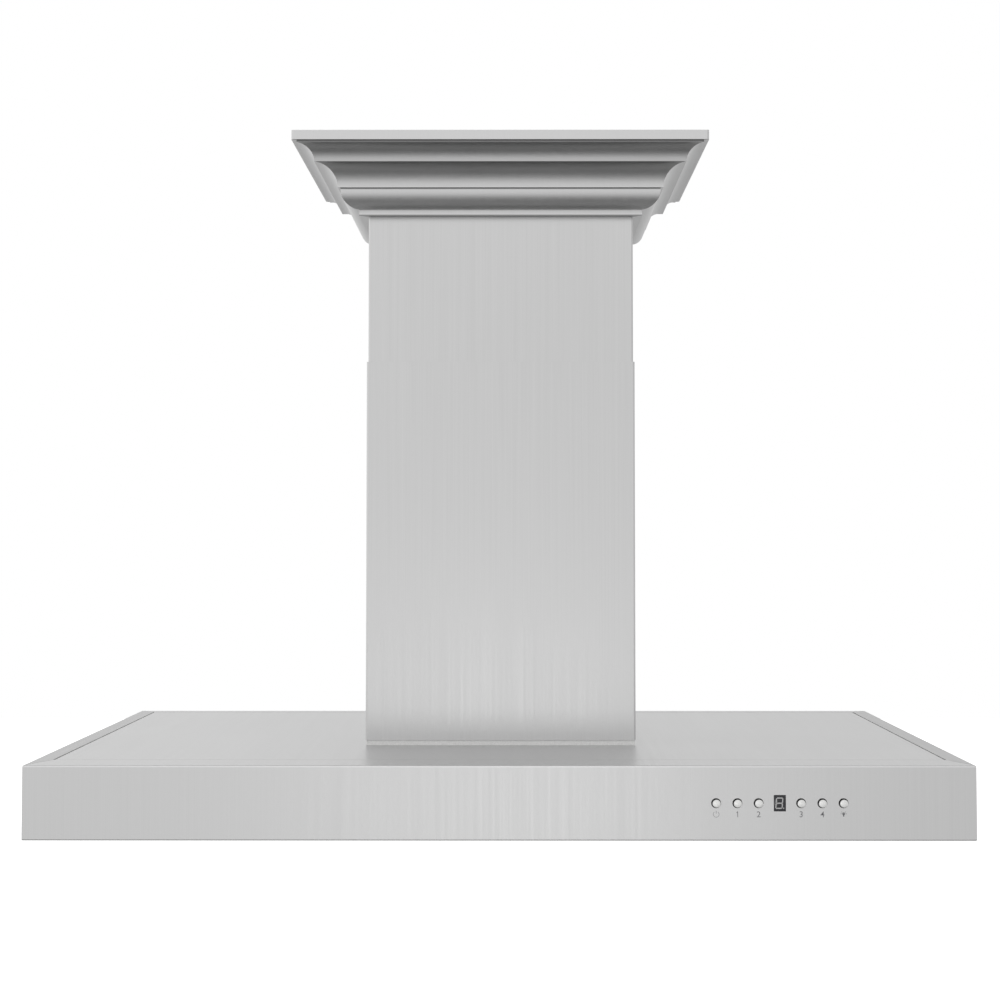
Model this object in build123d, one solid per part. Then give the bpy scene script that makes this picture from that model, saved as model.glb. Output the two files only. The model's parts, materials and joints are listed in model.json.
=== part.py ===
from build123d import *
import os
from math import atan2, cos, degrees, hypot, radians, sin

# Island range hood: a flat box canopy hung from the ceiling on a telescoping frame, with a
# two-piece sliding chimney and a stepped crown moulding. Millimetres, +Z up. The origin is
# the centre of the ceiling plate's top face; the controls face -Y, and +X is to the right.

# ---- driving dimensions ----------------------------------------------------------------
CANOPY_W, CANOPY_D, CANOPY_H = 900.0, 600.0, 70.5
CEILING_TO_CANOPY = 628.0      # ceiling to the canopy's top flange
CANOPY_SHEET = 1.2
CHIMNEY_W, CHIMNEY_D = 280.0, 230.0   # lower chimney, outside
CHIMNEY_SHEET = 1.0
CHIMNEY_BEND = 2.0             # outer bend radius of the chimneys' corners
SLIP = 0.5                     # gap between the two chimneys, each side
LOWER_CHIMNEY_TOP = -229.5
UPPER_CHIMNEY_END = -400.0
TRAVEL_UP, TRAVEL_DOWN = 150.0, 140.0   # height adjustment of the frame

# canopy top and underside
FRONT_FLANGE, SIDE_FLANGE, BOTTOM_FLANGE = 48.0, 18.0, 22.0  # turned-in flanges of the skirt
EDGE_BEND = 1.2                # bend radius along the skirt's and the panel's edges
SEAM, FRONT_SEAM = 1.6, 0.8    # open joint round the flush top panel
PANEL_SHEET, PANEL_LEDGE, LEDGE_DROP = 1.0, 8.0, 1.2
GASKET = 5.0                   # foam strip under the chimney
MITRE_GROOVE = 0.6
UNDERSIDE_RECESS = 12.5        # underside panel above the canopy's lower edge
WELL_X, WELL_Y, WELL_H = 393.5, 199.6, 14.0   # filter well: half width, half depth, upstand

# ceiling plate and telescoping frame
PLATE = 3.0
PLATE_FLANGE_H, PLATE_FLANGE_T = 28.0, 2.0
DUCT_CUTOUT = 170.0
CABLE_NOTCH_W, CABLE_NOTCH_OUT = 18.0, 97.0   # notch for the supply cable: width, reach from the centre
BOLT_X, BOLT_Y, BOLT_R = 112.0, 60.0, 4.5     # ceiling bolts
ANGLE_T, UPPER_LEG, LOWER_LEG = 2.0, 20.0, 18.0
UPPER_X, UPPER_Y = 131.5, 106.5               # outer corner of the upper uprights
NEST = 0.4                                    # gap between upper and lower uprights
UPPER_UPRIGHT_END, LOWER_UPRIGHT_TOP = -450.0, -250.0
CLAMP_Y = 95.0
CLAMP_Z = (-262.0, -292.0)
SLOT_R = 3.0

# crown moulding: section measured out from the chimney's face and down from the ceiling
CROWN_OUT = 73.5
CROWN_SHEET = 1.2
FASCIA = 9.6
FASCIA_CORNER_R = 2.5
BEAD_OUT, BEAD_H = 68.5, 1.8
COVE1_OUT, COVE1_Z = 52.2, -28.0
COVE2_START, COVE2_OUT, COVE2_Z = 50.2, 30.0, -51.0
CREASE, OVOLO_IN, OVOLO_DROP = 0.3, 2.6, 1.9   # riser above the lower cove; step back and riser above the round
OVOLO_R = 18.0
FILLET_OUT, CROWN_H = 9.2, 77.0
BACK_FLANGE_TOP = -45.0

# blower: shaft along X
BOX_W, BOX_D, BOX_H, BOX_SHEET, BOX_FLANGE = 220.0, 170.0, 200.0, 1.2, 12.0
AXIS_Y, AXIS_Z = -5.0, -530.5
SCROLL_X0, SCROLL_X1 = -52.0, 42.0
SCROLL_R0, SCROLL_R1, CUTOFF_DEG = 67.0, 88.0, 65.0
THROAT_Y = 17.0
WHEEL_R, WHEEL_EYE_R, WHEEL_X0, WHEEL_X1, BLADES = 60.0, 49.0, -46.0, 34.5, 30
MOTOR_R, MOTOR_X1, BEARING_R, BEARING_L, SHAFT_R = 42.0, 106.0, 11.0, 7.0, 4.0
RUNNING = 0.03                 # radial clearance of the shaft in its bearings
TRANSITION_H, COLLAR_R, COLLAR_T, COLLAR_H = 60.0, 75.0, 2.0, 50.0
FLAP_PIN_R, FLAP_PIN_Y, FLAP_PIN_UP, FLAP_T = 2.0, 4.0, 10.0, 1.2
FLAP_PLAY = 0.05

# junction box and capacitor, on top of the blower box
JBOX_X, JBOX_Y, JBOX_W, JBOX_D, JBOX_H = 87.0, -62.0, 42.0, 40.0, 30.0
GLAND_BORE = 4.5
CAP_X, CAP_Y, CAP_R, CAP_H = -88.0, -62.0, 14.0, 48.0

# controls on the front face
BUTTON_PITCH, CONTROL_X = 20.0, 264.5
BUTTON_HOLE_R, BUTTON_R, BUTTON_PROUD, BUTTON_TRAVEL = 4.65, 4.2, 2.6, 1.2
BUTTONS = (("power_button", -3), ("speed_1_button", -2), ("speed_2_button", -1),
           ("speed_3_button", 1), ("speed_4_button", 2), ("light_button", 3))
WINDOW_W, WINDOW_H = 11.4, 15.4
HOUSING_W, HOUSING_H, HOUSING_DEEP, HOUSING_T = 150.0, 32.0, 22.0, 1.5
BOARD_IN, BOARD_T = 9.0, 1.6   # front face of the board, behind the skirt's inner face

# lights in the underside
LIGHT_X, LIGHT_Y, LIGHT_R, LIGHT_RIM_R, LIGHT_H = 330.0, 248.0, 26.0, 30.0, 18.0
LENS_R, LENS_T = 23.8, 2.5

# baffle filters
FILTER_PITCH, FILTER_W, FILTER_Y0, FILTER_Y1 = 262.0, 261.0, -196.5, 196.5
FILTER_H, FILTER_SHEET, FILTER_RAIL = 11.0, 0.8, 14.0
BAFFLE_PITCH, BAFFLE_W, BAFFLE_LEG = 34.0, 24.0, 4.0
TONGUE_X, TONGUE_W, TONGUE_T, TONGUE_END = 70.0, 24.0, 1.2, 207.0
FILTERS = (("left", -1), ("middle", 0), ("right", 1))

# ---- levels and sizes that follow from them ----------------------------------------------
FLANGE_Z = -CEILING_TO_CANOPY
BOTTOM_Z = FLANGE_Z - CANOPY_H
PANEL_Z = FLANGE_Z                            # the top panel is flush with the flange
CHIMNEY_BASE_Z = PANEL_Z + GASKET
FRONT_Y = -CANOPY_D / 2
CONTROL_Z = FLANGE_Z - CANOPY_H / 2
UNDER_Z = BOTTOM_Z + UNDERSIDE_RECESS         # lower face of the underside panel
UPPER_CHIMNEY_W = CHIMNEY_W - 2 * (CHIMNEY_SHEET + SLIP)
UPPER_CHIMNEY_D = CHIMNEY_D - 2 * (CHIMNEY_SHEET + SLIP)
FACE_X, FACE_Y = UPPER_CHIMNEY_W / 2, UPPER_CHIMNEY_D / 2
INNER_X, INNER_Y = FACE_X - CHIMNEY_SHEET, FACE_Y - CHIMNEY_SHEET
LOWER_X, LOWER_Y = UPPER_X - ANGLE_T - NEST, UPPER_Y - ANGLE_T - NEST
BOX_TOP = PANEL_Z + BOX_H
COLLAR_Z = BOX_TOP + TRANSITION_H
FILTER_Z = UNDER_Z + PANEL_SHEET + 0.2
CORNERS = [(sx, sy) for sx in (-1, 1) for sy in (-1, 1)]
SIDE_NAMES = {(-1, -1): "front_left", (1, -1): "front_right",
              (-1, 1): "rear_left", (1, 1): "rear_right"}


# ---- helpers -----------------------------------------------------------------------------
def block(x0, x1, y0, y1, z0, z1):
    """A box from its lowest to its highest corner."""
    return Pos((x0 + x1) / 2, (y0 + y1) / 2, (z0 + z1) / 2) * Box(x1 - x0, y1 - y0, z1 - z0)


def slab(width, depth, z0, z1, x=0.0, y=0.0):
    """A box centred on (x, y)."""
    return Pos(x, y, (z0 + z1) / 2) * Box(width, depth, z1 - z0)


def rod(radius, start, direction, length):
    """A cylinder from a start point along a direction."""
    bottom = (Align.CENTER, Align.CENTER, Align.MIN)
    return Plane(origin=start, z_dir=direction) * Cylinder(radius, length, align=bottom)


def sleeve(width, depth, wall, z0, z1):
    """A rectangular tube about the Z axis."""
    return slab(width, depth, z0, z1) - slab(width - 2 * wall, depth - 2 * wall, z0 - 1, z1 + 1)


def bent_sleeve(width, depth, wall, bend, z0, z1):
    """A rectangular tube bent from sheet, with rounded corners."""
    outside = slab(width, depth, z0, z1)
    outside = fillet(outside.edges().filter_by(Axis.Z), bend)
    inside = slab(width - 2 * wall, depth - 2 * wall, z0 - 1, z1 + 1)
    return outside - fillet(inside.edges().filter_by(Axis.Z), bend - wall)


def in_corner(shape, sx, sy):
    """A shape drawn in the +X +Y quarter, mirrored to the quarter of the given signs."""
    if sx < 0:
        shape = mirror(shape, about=Plane.YZ)
    if sy < 0:
        shape = mirror(shape, about=Plane.XZ)
    return shape


def all_corners(shape):
    """Four mirrored copies, one in each quarter."""
    return sum([in_corner(shape, sx, sy) for sx, sy in CORNERS], Part())


def pan_screw(start, direction, shank_r, length, head_r, head_h):
    """A pan-head screw: start is the seat of its head, and direction is the way the shank goes."""
    back = tuple(-value for value in direction)
    head = rod(head_r, start, back, head_h)
    rim = head.edges().filter_by(GeomType.CIRCLE).sort_by(Axis(start, back))[-1]
    head = fillet(rim, head_h * 0.45)
    return head + rod(shank_r, start, direction, length)


# ---- ceiling side ------------------------------------------------------------------------
CHIMNEY_SCREW_Z, CHIMNEY_SCREW_Y = -15.0, 60.0
CROWN_SCREW_Z, CROWN_SCREW_X, CROWN_SCREW_Y = -60.0, 90.0, 70.0
FOOT_SCREW_R, SHEET_SCREW_R, HOLE_PLAY = 2.4, 1.75, 0.1


def ceiling_plate():
    plate = slab(2 * INNER_X, 2 * INNER_Y - 3, -PLATE, 0)
    flange = block(INNER_X - PLATE_FLANGE_T, INNER_X, -INNER_Y + 1.5, INNER_Y - 1.5, -PLATE_FLANGE_H, 0)
    plate += flange + mirror(flange, about=Plane.YZ)
    cutout = slab(DUCT_CUTOUT, DUCT_CUTOUT, -PLATE - 1, 1)
    plate -= fillet(cutout.edges().filter_by(Axis.Z), 12)
    notch = block(DUCT_CUTOUT / 2 - 5, CABLE_NOTCH_OUT, JBOX_Y - CABLE_NOTCH_W / 2, JBOX_Y + CABLE_NOTCH_W / 2,
                  -PLATE - 1, 1)
    plate -= fillet(notch.edges().filter_by(Axis.Z).group_by(Axis.X)[-1], 6)
    hole = rod(BOLT_R, (BOLT_X, BOLT_Y, -PLATE - 1), (0, 0, 1), PLATE + 2)
    hole += rod(FOOT_SCREW_R + HOLE_PLAY, foot_screw_at(UPPER_X, UPPER_Y, UPPER_LEG, -PLATE - 1),
                (0, 0, 1), PLATE + 2)
    hole += rod(SHEET_SCREW_R + HOLE_PLAY, (INNER_X - 4, CHIMNEY_SCREW_Y, CHIMNEY_SCREW_Z), (1, 0, 0), 8)
    return plate - all_corners(hole)


def foot_screw_at(corner_x, corner_y, leg, z):
    """Centre of the foot screw of an upright."""
    return (corner_x - leg / 2, corner_y - leg / 2, z)


def upright(corner_x, corner_y, leg, z0, z1, foot_z):
    """An angle in the +X +Y quarter, with a foot plate whose lower face is at foot_z."""
    angle = block(corner_x - ANGLE_T, corner_x, corner_y - leg, corner_y, z0, z1)
    angle += block(corner_x - leg, corner_x, corner_y - ANGLE_T, corner_y, z0, z1)
    angle += block(corner_x - leg, corner_x, corner_y - leg, corner_y, foot_z, foot_z + ANGLE_T)
    screw_hole = rod(FOOT_SCREW_R + HOLE_PLAY, foot_screw_at(corner_x, corner_y, leg, foot_z - 1), (0, 0, 1), 4)
    return angle - screw_hole


def upper_upright():
    angle = upright(UPPER_X, UPPER_Y, UPPER_LEG, UPPER_UPRIGHT_END, -PLATE, -PLATE - ANGLE_T)
    slot_z0 = min(CLAMP_Z) - TRAVEL_DOWN
    slot_z1 = max(CLAMP_Z) + TRAVEL_UP
    slot = block(UPPER_X - 5, UPPER_X + 5, CLAMP_Y - SLOT_R, CLAMP_Y + SLOT_R, slot_z0, slot_z1)
    for end in (slot_z0, slot_z1):
        slot += rod(SLOT_R + 1, (UPPER_X - 5, CLAMP_Y, end), (1, 0, 0), 10)
    return angle - slot


def lower_upright():
    angle = upright(LOWER_X, LOWER_Y, LOWER_LEG, PANEL_Z, LOWER_UPRIGHT_TOP, PANEL_Z)
    for z in CLAMP_Z:
        angle -= rod(CLAMP_R + HOLE_PLAY, (LOWER_X - 5, CLAMP_Y, z), (1, 0, 0), 10)
    return angle


CLAMP_R, CLAMP_HEAD_R, CLAMP_HEAD_H, NUT_R, NUT_H = 2.5, 4.6, 3.2, 4.6, 4.0


def clamp_bolts():
    """The bolts that lock the frame at its height: heads outside, hexagon nuts inside."""
    bolts = Part()
    for z in CLAMP_Z:
        seat = UPPER_X + NEST
        bolt = pan_screw((seat, CLAMP_Y, z), (-1, 0, 0), CLAMP_R, seat - LOWER_X + ANGLE_T + NUT_H + 1,
                         CLAMP_HEAD_R, CLAMP_HEAD_H)
        nut_face = Plane(origin=(LOWER_X - ANGLE_T, CLAMP_Y, z), z_dir=(-1, 0, 0))
        bolt += extrude(nut_face * RegularPolygon(NUT_R, 6), NUT_H)
        bolts += bolt
    return all_corners(bolts)


def frame_screws():
    """Screws of the upper uprights' feet, and of the upper chimney on the plate's flanges."""
    screws = pan_screw(foot_screw_at(UPPER_X, UPPER_Y, UPPER_LEG, -PLATE - ANGLE_T), (0, 0, 1),
                       FOOT_SCREW_R, PLATE + ANGLE_T, 4.4, 2.8)
    screws += pan_screw((FACE_X, CHIMNEY_SCREW_Y, CHIMNEY_SCREW_Z), (-1, 0, 0), SHEET_SCREW_R, 6, 3.6, 2.2)
    return all_corners(screws)


def crown_screw_places():
    """Seats of the screws in the crown's back flanges, in the +X +Y quarter."""
    return (((FACE_X + CROWN_SHEET, CROWN_SCREW_Y, CROWN_SCREW_Z), (-1, 0, 0)),
            ((CROWN_SCREW_X, FACE_Y + CROWN_SHEET, CROWN_SCREW_Z), (0, -1, 0)))


def crown_screw_holes():
    holes = Part()
    for seat, direction in crown_screw_places():
        holes += rod(SHEET_SCREW_R + HOLE_PLAY, seat, direction, 8)
    return all_corners(holes)


def crown_screws():
    screws = Part()
    for seat, direction in crown_screw_places():
        screws += pan_screw(seat, direction, SHEET_SCREW_R, 6, 3.6, 2.2)
    return all_corners(screws)


def upper_chimney():
    tube = bent_sleeve(UPPER_CHIMNEY_W, UPPER_CHIMNEY_D, CHIMNEY_SHEET, CHIMNEY_BEND, UPPER_CHIMNEY_END, 0)
    hole = rod(SHEET_SCREW_R + HOLE_PLAY, (INNER_X - 4, CHIMNEY_SCREW_Y, CHIMNEY_SCREW_Z), (1, 0, 0), 8)
    return tube - all_corners(hole) - crown_screw_holes()


# ---- crown moulding ----------------------------------------------------------------------
def crown_section(inset):
    """The crown's outline, from the chimney's face outwards, drawn inset by a sheet's thickness.

    Two coves, each a quarter ellipse hollow towards the room, and a quarter round below them.
    """
    out, low = CROWN_OUT - inset, -CROWN_H + inset
    bead_out, bead_z = BEAD_OUT - inset, -FASCIA - BEAD_H + inset
    cove1_out, cove1_z = COVE1_OUT - inset, COVE1_Z + inset
    cove2_top, cove2_out = COVE2_START - inset, COVE2_OUT - inset
    cove2_z = COVE2_Z + inset
    ovolo_r = OVOLO_R
    ovolo_out, ovolo_z = COVE2_OUT - OVOLO_IN - inset, COVE2_Z - OVOLO_DROP + inset
    ovolo_foot = ovolo_out - ovolo_r
    edges = [
        Line((inset, 0), (out, 0)),
        Line((out, 0), (out, -FASCIA + inset)),
        Line((out, -FASCIA + inset), (bead_out, -FASCIA + inset)),
        Line((bead_out, -FASCIA + inset), (bead_out, bead_z)),
        EllipticalCenterArc((bead_out, cove1_z), bead_out - cove1_out, bead_z - cove1_z,
                            start_angle=90, arc_size=90),
        Line((cove1_out, cove1_z), (cove2_top, cove1_z)),
        Line((cove2_top, cove1_z), (cove2_top, cove1_z - CREASE)),
        EllipticalCenterArc((cove2_top, cove2_z), cove2_top - cove2_out, cove1_z - CREASE - cove2_z,
                            start_angle=90, arc_size=90),
        Line((cove2_out, cove2_z), (ovolo_out, cove2_z)),
        Line((ovolo_out, cove2_z), (ovolo_out, ovolo_z)),
        CenterArc((ovolo_foot, ovolo_z), ovolo_r, 0, -90),
        Line((ovolo_foot, ovolo_z - ovolo_r), (FILLET_OUT - inset, ovolo_z - ovolo_r)),
        Line((FILLET_OUT - inset, ovolo_z - ovolo_r), (FILLET_OUT - inset, low)),
        Line((FILLET_OUT - inset, low), (inset, low)),
        Line((inset, low), (inset, 0)),
    ]
    return make_face(edges)


def crown_profile():
    """The folded sheet: open at the top, with a short back flange against the chimney."""
    section = crown_section(0) - crown_section(CROWN_SHEET)
    section -= Pos(CROWN_OUT / 2, 0) * Rectangle(CROWN_OUT - 2 * CROWN_SHEET, 2.5)
    section -= Pos(0, BACK_FLANGE_TOP / 2) * Rectangle(2.5 * CROWN_SHEET, -BACK_FLANGE_TOP)
    return section


def crown_length(plane, run, face):
    """One mitred length. The plane's x points out from the chimney, and face is half of its wall."""
    bar = extrude(plane * crown_profile(), run / 2, both=True)
    end = face + CROWN_OUT
    outline = Polyline((0, -face), (CROWN_OUT, -end), (CROWN_OUT, end), (0, face), close=True)
    plan = Plane(origin=plane.origin + Vector(0, 0, 1), x_dir=plane.x_dir, z_dir=(0, 0, -1))
    bar = bar & extrude(plan * make_face(outline), CROWN_H + 2)
    r = FASCIA_CORNER_R
    for side in (-1, 1):
        corner = Pos(CROWN_OUT - r / 2 + 1, side * (end - r / 2 + 1)) * Rectangle(r + 2, r + 2)
        corner -= Pos(CROWN_OUT - r, side * (end - r)) * Circle(r)
        bar -= extrude(plan * corner, CROWN_H + 2)
    return bar


def crown(side):
    """A length of crown on one side of the chimney: a unit vector in the XY plane."""
    x, y = side
    face = FACE_Y if x else FACE_X
    start = (x * FACE_X, y * FACE_Y, 0)
    plane = Plane(origin=start, x_dir=(x, y, 0), z_dir=Vector(x, y, 0).cross(Vector(0, 0, 1)))
    length = crown_length(plane, 2 * (face + CROWN_OUT), face)
    return length - crown_screw_holes()


def crown_brackets():
    """Angles inside the crown's corners, behind the fascia."""
    x, y, leg, t = FACE_X + CROWN_OUT - CROWN_SHEET, FACE_Y + CROWN_OUT - CROWN_SHEET, 30.0, 2.0
    z0, z1 = -FASCIA + CROWN_SHEET, -1.5
    return all_corners(block(x - t, x, y - leg, y, z0, z1) + block(x - leg, x, y - t, y, z0, z1))


# ---- canopy ------------------------------------------------------------------------------
def mitre_grooves():
    """Shallow lines where the skirt's flanges meet, from near each corner to past the window's corner."""
    grooves = Part()
    for sx, sy in CORNERS:
        depth = FRONT_FLANGE if sy < 0 else SIDE_FLANGE
        turn = degrees(atan2(-sy * depth, -sx * SIDE_FLANGE))
        length = hypot(SIDE_FLANGE, depth)
        line = block(4, length + 2, -MITRE_GROOVE / 2, MITRE_GROOVE / 2, -MITRE_GROOVE / 2, 1)
        grooves += Pos(sx * CANOPY_W / 2, sy * CANOPY_D / 2, FLANGE_Z) * Rot(0, 0, turn) * line
    return grooves


def canopy_skirt():
    """The box's four walls with turned-in flanges above and below."""
    skirt = slab(CANOPY_W, CANOPY_D, BOTTOM_Z, FLANGE_Z)
    skirt = fillet(skirt.edges().filter_by(Axis.Z, reverse=True), EDGE_BEND)
    skirt -= slab(CANOPY_W - 2 * CANOPY_SHEET, CANOPY_D - 2 * CANOPY_SHEET,
                  BOTTOM_Z + CANOPY_SHEET, FLANGE_Z - CANOPY_SHEET)
    skirt -= block(-CANOPY_W / 2 + SIDE_FLANGE, CANOPY_W / 2 - SIDE_FLANGE, FRONT_Y + FRONT_FLANGE,
                   CANOPY_D / 2 - SIDE_FLANGE, FLANGE_Z - 5, FLANGE_Z + 1)
    skirt -= slab(CANOPY_W - 2 * BOTTOM_FLANGE, CANOPY_D - 2 * BOTTOM_FLANGE, BOTTOM_Z - 1, BOTTOM_Z + 5)
    skirt -= mitre_grooves()
    for _, place in BUTTONS:
        skirt -= rod(BUTTON_HOLE_R, (CONTROL_X + place * BUTTON_PITCH, FRONT_Y - 1, CONTROL_Z), (0, 1, 0), 5)
    return skirt - slab(WINDOW_W, 10, CONTROL_Z - WINDOW_H / 2, CONTROL_Z + WINDOW_H / 2, CONTROL_X, FRONT_Y)


def top_panel():
    """The flush panel, joggled down round its rim to a ledge that is welded under the skirt's flange."""
    x, y0, y1 = CANOPY_W / 2 - SIDE_FLANGE, FRONT_Y + FRONT_FLANGE, CANOPY_D / 2 - SIDE_FLANGE
    t, ledge_top = PANEL_SHEET, FLANGE_Z - LEDGE_DROP
    panel = block(-x + SEAM, x - SEAM, y0 + FRONT_SEAM, y1 - SEAM, ledge_top - t, PANEL_Z)
    panel = fillet(panel.edges().group_by(Axis.Z)[-1], 0.4)
    panel -= block(-x + SEAM + t, x - SEAM - t, y0 + FRONT_SEAM + t, y1 - SEAM - t, ledge_top - t - 1, PANEL_Z - t)
    ledge = block(-x - PANEL_LEDGE, x + PANEL_LEDGE, y0 - PANEL_LEDGE, y1 + PANEL_LEDGE, ledge_top - t, ledge_top)
    panel += ledge - block(-x + SEAM, x - SEAM, y0 + FRONT_SEAM, y1 - SEAM, ledge_top - t - 1, ledge_top + 1)
    air = slab(BOX_W - 2 * BOX_FLANGE - 4, BOX_D - 2 * BOX_FLANGE - 4, FLANGE_Z - 5, PANEL_Z + 1)
    hole = rod(FOOT_SCREW_R + HOLE_PLAY, foot_screw_at(LOWER_X, LOWER_Y, LOWER_LEG, FLANGE_Z - 3), (0, 0, 1), 5)
    return panel - air - all_corners(hole)


def base_screws():
    """Screws of the lower uprights' feet, driven up from inside the canopy."""
    start = foot_screw_at(LOWER_X, LOWER_Y, LOWER_LEG, PANEL_Z - PANEL_SHEET)
    return all_corners(pan_screw(start, (0, 0, 1), FOOT_SCREW_R, 8, 4.4, 2.8))


def lower_chimney():
    tube = bent_sleeve(CHIMNEY_W, CHIMNEY_D, CHIMNEY_SHEET, CHIMNEY_BEND, CHIMNEY_BASE_Z, LOWER_CHIMNEY_TOP)
    foot = sleeve(CHIMNEY_W - 2 * CHIMNEY_SHEET + 0.2, CHIMNEY_D - 2 * CHIMNEY_SHEET + 0.2, 9.1,
                  CHIMNEY_BASE_Z, CHIMNEY_BASE_Z + CHIMNEY_SHEET)
    return tube + foot


def chimney_gasket():
    return sleeve(CHIMNEY_W - 2, CHIMNEY_D - 2, CHIMNEY_SHEET + 8, PANEL_Z, CHIMNEY_BASE_Z)


def underside_panel():
    """Recessed panel: rim turned down to the skirt, and an upstand round the filter well."""
    w, d = CANOPY_W - 2 * CANOPY_SHEET, CANOPY_D - 2 * CANOPY_SHEET
    t = PANEL_SHEET
    panel = slab(w, d, UNDER_Z, UNDER_Z + t)
    panel += sleeve(w, d, t, BOTTOM_Z + CANOPY_SHEET, UNDER_Z + t)
    panel -= slab(2 * WELL_X, 2 * WELL_Y, UNDER_Z - 1, UNDER_Z + t + 1)
    panel += sleeve(2 * (WELL_X + t), 2 * (WELL_Y + t), t, UNDER_Z, UNDER_Z + t + WELL_H)
    for _, place in FILTERS:
        for side in (-1, 1):
            x = place * FILTER_PITCH + side * TONGUE_X
            panel -= slab(TONGUE_W + 2, 4, UNDER_Z + t, UNDER_Z + t + 10, x, WELL_Y + t / 2)
    return panel - all_corners(rod(LIGHT_R + 0.2, (LIGHT_X, LIGHT_Y, UNDER_Z - 1), (0, 0, 1), 4))


def light_housings():
    """Four lamp cups whose rims lie on the underside panel."""
    cup = rod(LIGHT_RIM_R, (LIGHT_X, LIGHT_Y, UNDER_Z - 1.5), (0, 0, 1), 1.5)
    cup = chamfer(cup.edges().group_by(Axis.Z)[0], 0.8)
    cup += rod(LIGHT_R, (LIGHT_X, LIGHT_Y, UNDER_Z - 0.5), (0, 0, 1), LIGHT_H)
    cup -= rod(LENS_R, (LIGHT_X, LIGHT_Y, UNDER_Z - 2), (0, 0, 1), 2 + LENS_T)
    return all_corners(cup)


def light_lenses():
    lens = rod(LENS_R, (LIGHT_X, LIGHT_Y, UNDER_Z - 0.8), (0, 0, 1), LENS_T + 0.8)
    return all_corners(fillet(lens.edges().group_by(Axis.Z)[0], 0.7))


# ---- blower ------------------------------------------------------------------------------
def blower_box():
    """The open-bottomed air chamber that stands on the top panel."""
    box = slab(BOX_W, BOX_D, PANEL_Z, BOX_TOP)
    box -= slab(BOX_W - 2 * BOX_SHEET, BOX_D - 2 * BOX_SHEET, PANEL_Z + BOX_SHEET, BOX_TOP - BOX_SHEET)
    box -= slab(BOX_W - 2 * BOX_FLANGE, BOX_D - 2 * BOX_FLANGE, PANEL_Z - 1, PANEL_Z + 3)
    y0, y1 = THROAT_Y, AXIS_Y + SCROLL_R1
    return box - block(SCROLL_X0, SCROLL_X1, y0, y1, BOX_TOP - 3, BOX_TOP + 1)


def scroll_face(inset):
    """Side view of the scroll: a spiral that opens into an upright throat at the box's top."""
    start, end, steps = CUTOFF_DEG, 360.0, 10
    points = []
    for i in range(steps + 1):
        angle = start + (end - start) * i / steps
        r = SCROLL_R0 + (SCROLL_R1 - SCROLL_R0) * i / steps - inset
        points.append((AXIS_Y + r * cos(radians(angle)), AXIS_Z + r * sin(radians(angle))))
    top = BOX_TOP
    y0, y1 = THROAT_Y + inset, points[-1][0]
    edges = [Spline(*points), Line(points[-1], (y1, top)), Line((y1, top), (y0, top)),
             Line((y0, top), points[0])]
    return make_face(edges)


def scroll_housing():
    width = SCROLL_X1 - SCROLL_X0
    housing = extrude(Plane.YZ.offset(SCROLL_X0) * scroll_face(0), width)
    hollow = Plane.YZ.offset(SCROLL_X0 + BOX_SHEET) * scroll_face(BOX_SHEET)
    housing -= extrude(hollow, width - 2 * BOX_SHEET)
    housing -= rod(WHEEL_EYE_R - 3, (SCROLL_X0 - 1, AXIS_Y, AXIS_Z), (1, 0, 0), 5)
    return housing - rod(BEARING_R + 3, (SCROLL_X1 - 4, AXIS_Y, AXIS_Z), (1, 0, 0), 8)


def inlet_ring():
    """Flared inlet on the scroll's left side."""
    ring = rod(WHEEL_EYE_R + 8, (SCROLL_X0 - 8, AXIS_Y, AXIS_Z), (1, 0, 0), 8)
    ring -= rod(WHEEL_EYE_R - 3, (SCROLL_X0 - 9, AXIS_Y, AXIS_Z), (1, 0, 0), 10)
    mouth = ring.edges().filter_by(GeomType.CIRCLE).group_by(Axis.X)[0].sort_by(SortBy.RADIUS)[0]
    return fillet(mouth, 6.5)


def impeller():
    """Forward-curved wheel: back plate and hub on the motor's side, and a ring at the inlet."""
    middle = (AXIS_Y, AXIS_Z)
    wheel = rod(WHEEL_R, (WHEEL_X1 - 1.5, *middle), (1, 0, 0), 1.5)
    wheel += rod(12, (WHEEL_X1 - 20, *middle), (1, 0, 0), 20)
    rim = rod(WHEEL_R, (WHEEL_X0, *middle), (1, 0, 0), 2.0)
    wheel += rim - rod(WHEEL_EYE_R, (WHEEL_X0 - 1, *middle), (1, 0, 0), 4)
    blade_r = (WHEEL_R + WHEEL_EYE_R) / 2
    width = WHEEL_X1 - WHEEL_X0
    vane = Pos(0, blade_r, 0) * Rot(35, 0, 0) * Box(width, WHEEL_R - WHEEL_EYE_R, 1.0)
    vanes = [Pos((WHEEL_X0 + WHEEL_X1) / 2, *middle) * Rot(360 * i / BLADES, 0, 0) * vane
             for i in range(BLADES)]
    wheel += vanes
    return wheel - rod(SHAFT_R, (WHEEL_X1 - 25, *middle), (1, 0, 0), 30)


def motor_housing():
    """The motor's can, with a bearing seat in each end."""
    middle = (AXIS_Y, AXIS_Z)
    length = MOTOR_X1 - SCROLL_X1
    can = rod(MOTOR_R, (SCROLL_X1, *middle), (1, 0, 0), length)
    can = fillet(can.edges().filter_by(GeomType.CIRCLE).group_by(Axis.X)[-1], 3)
    can -= rod(MOTOR_R - 2, (SCROLL_X1 + 2, *middle), (1, 0, 0), length - 4)
    for x in (SCROLL_X1, MOTOR_X1 - BEARING_L):
        can += rod(BEARING_R + 3, (x, *middle), (1, 0, 0), BEARING_L)
        can -= rod(BEARING_R, (x - 1, *middle), (1, 0, 0), BEARING_L + 2)
    return can


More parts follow.
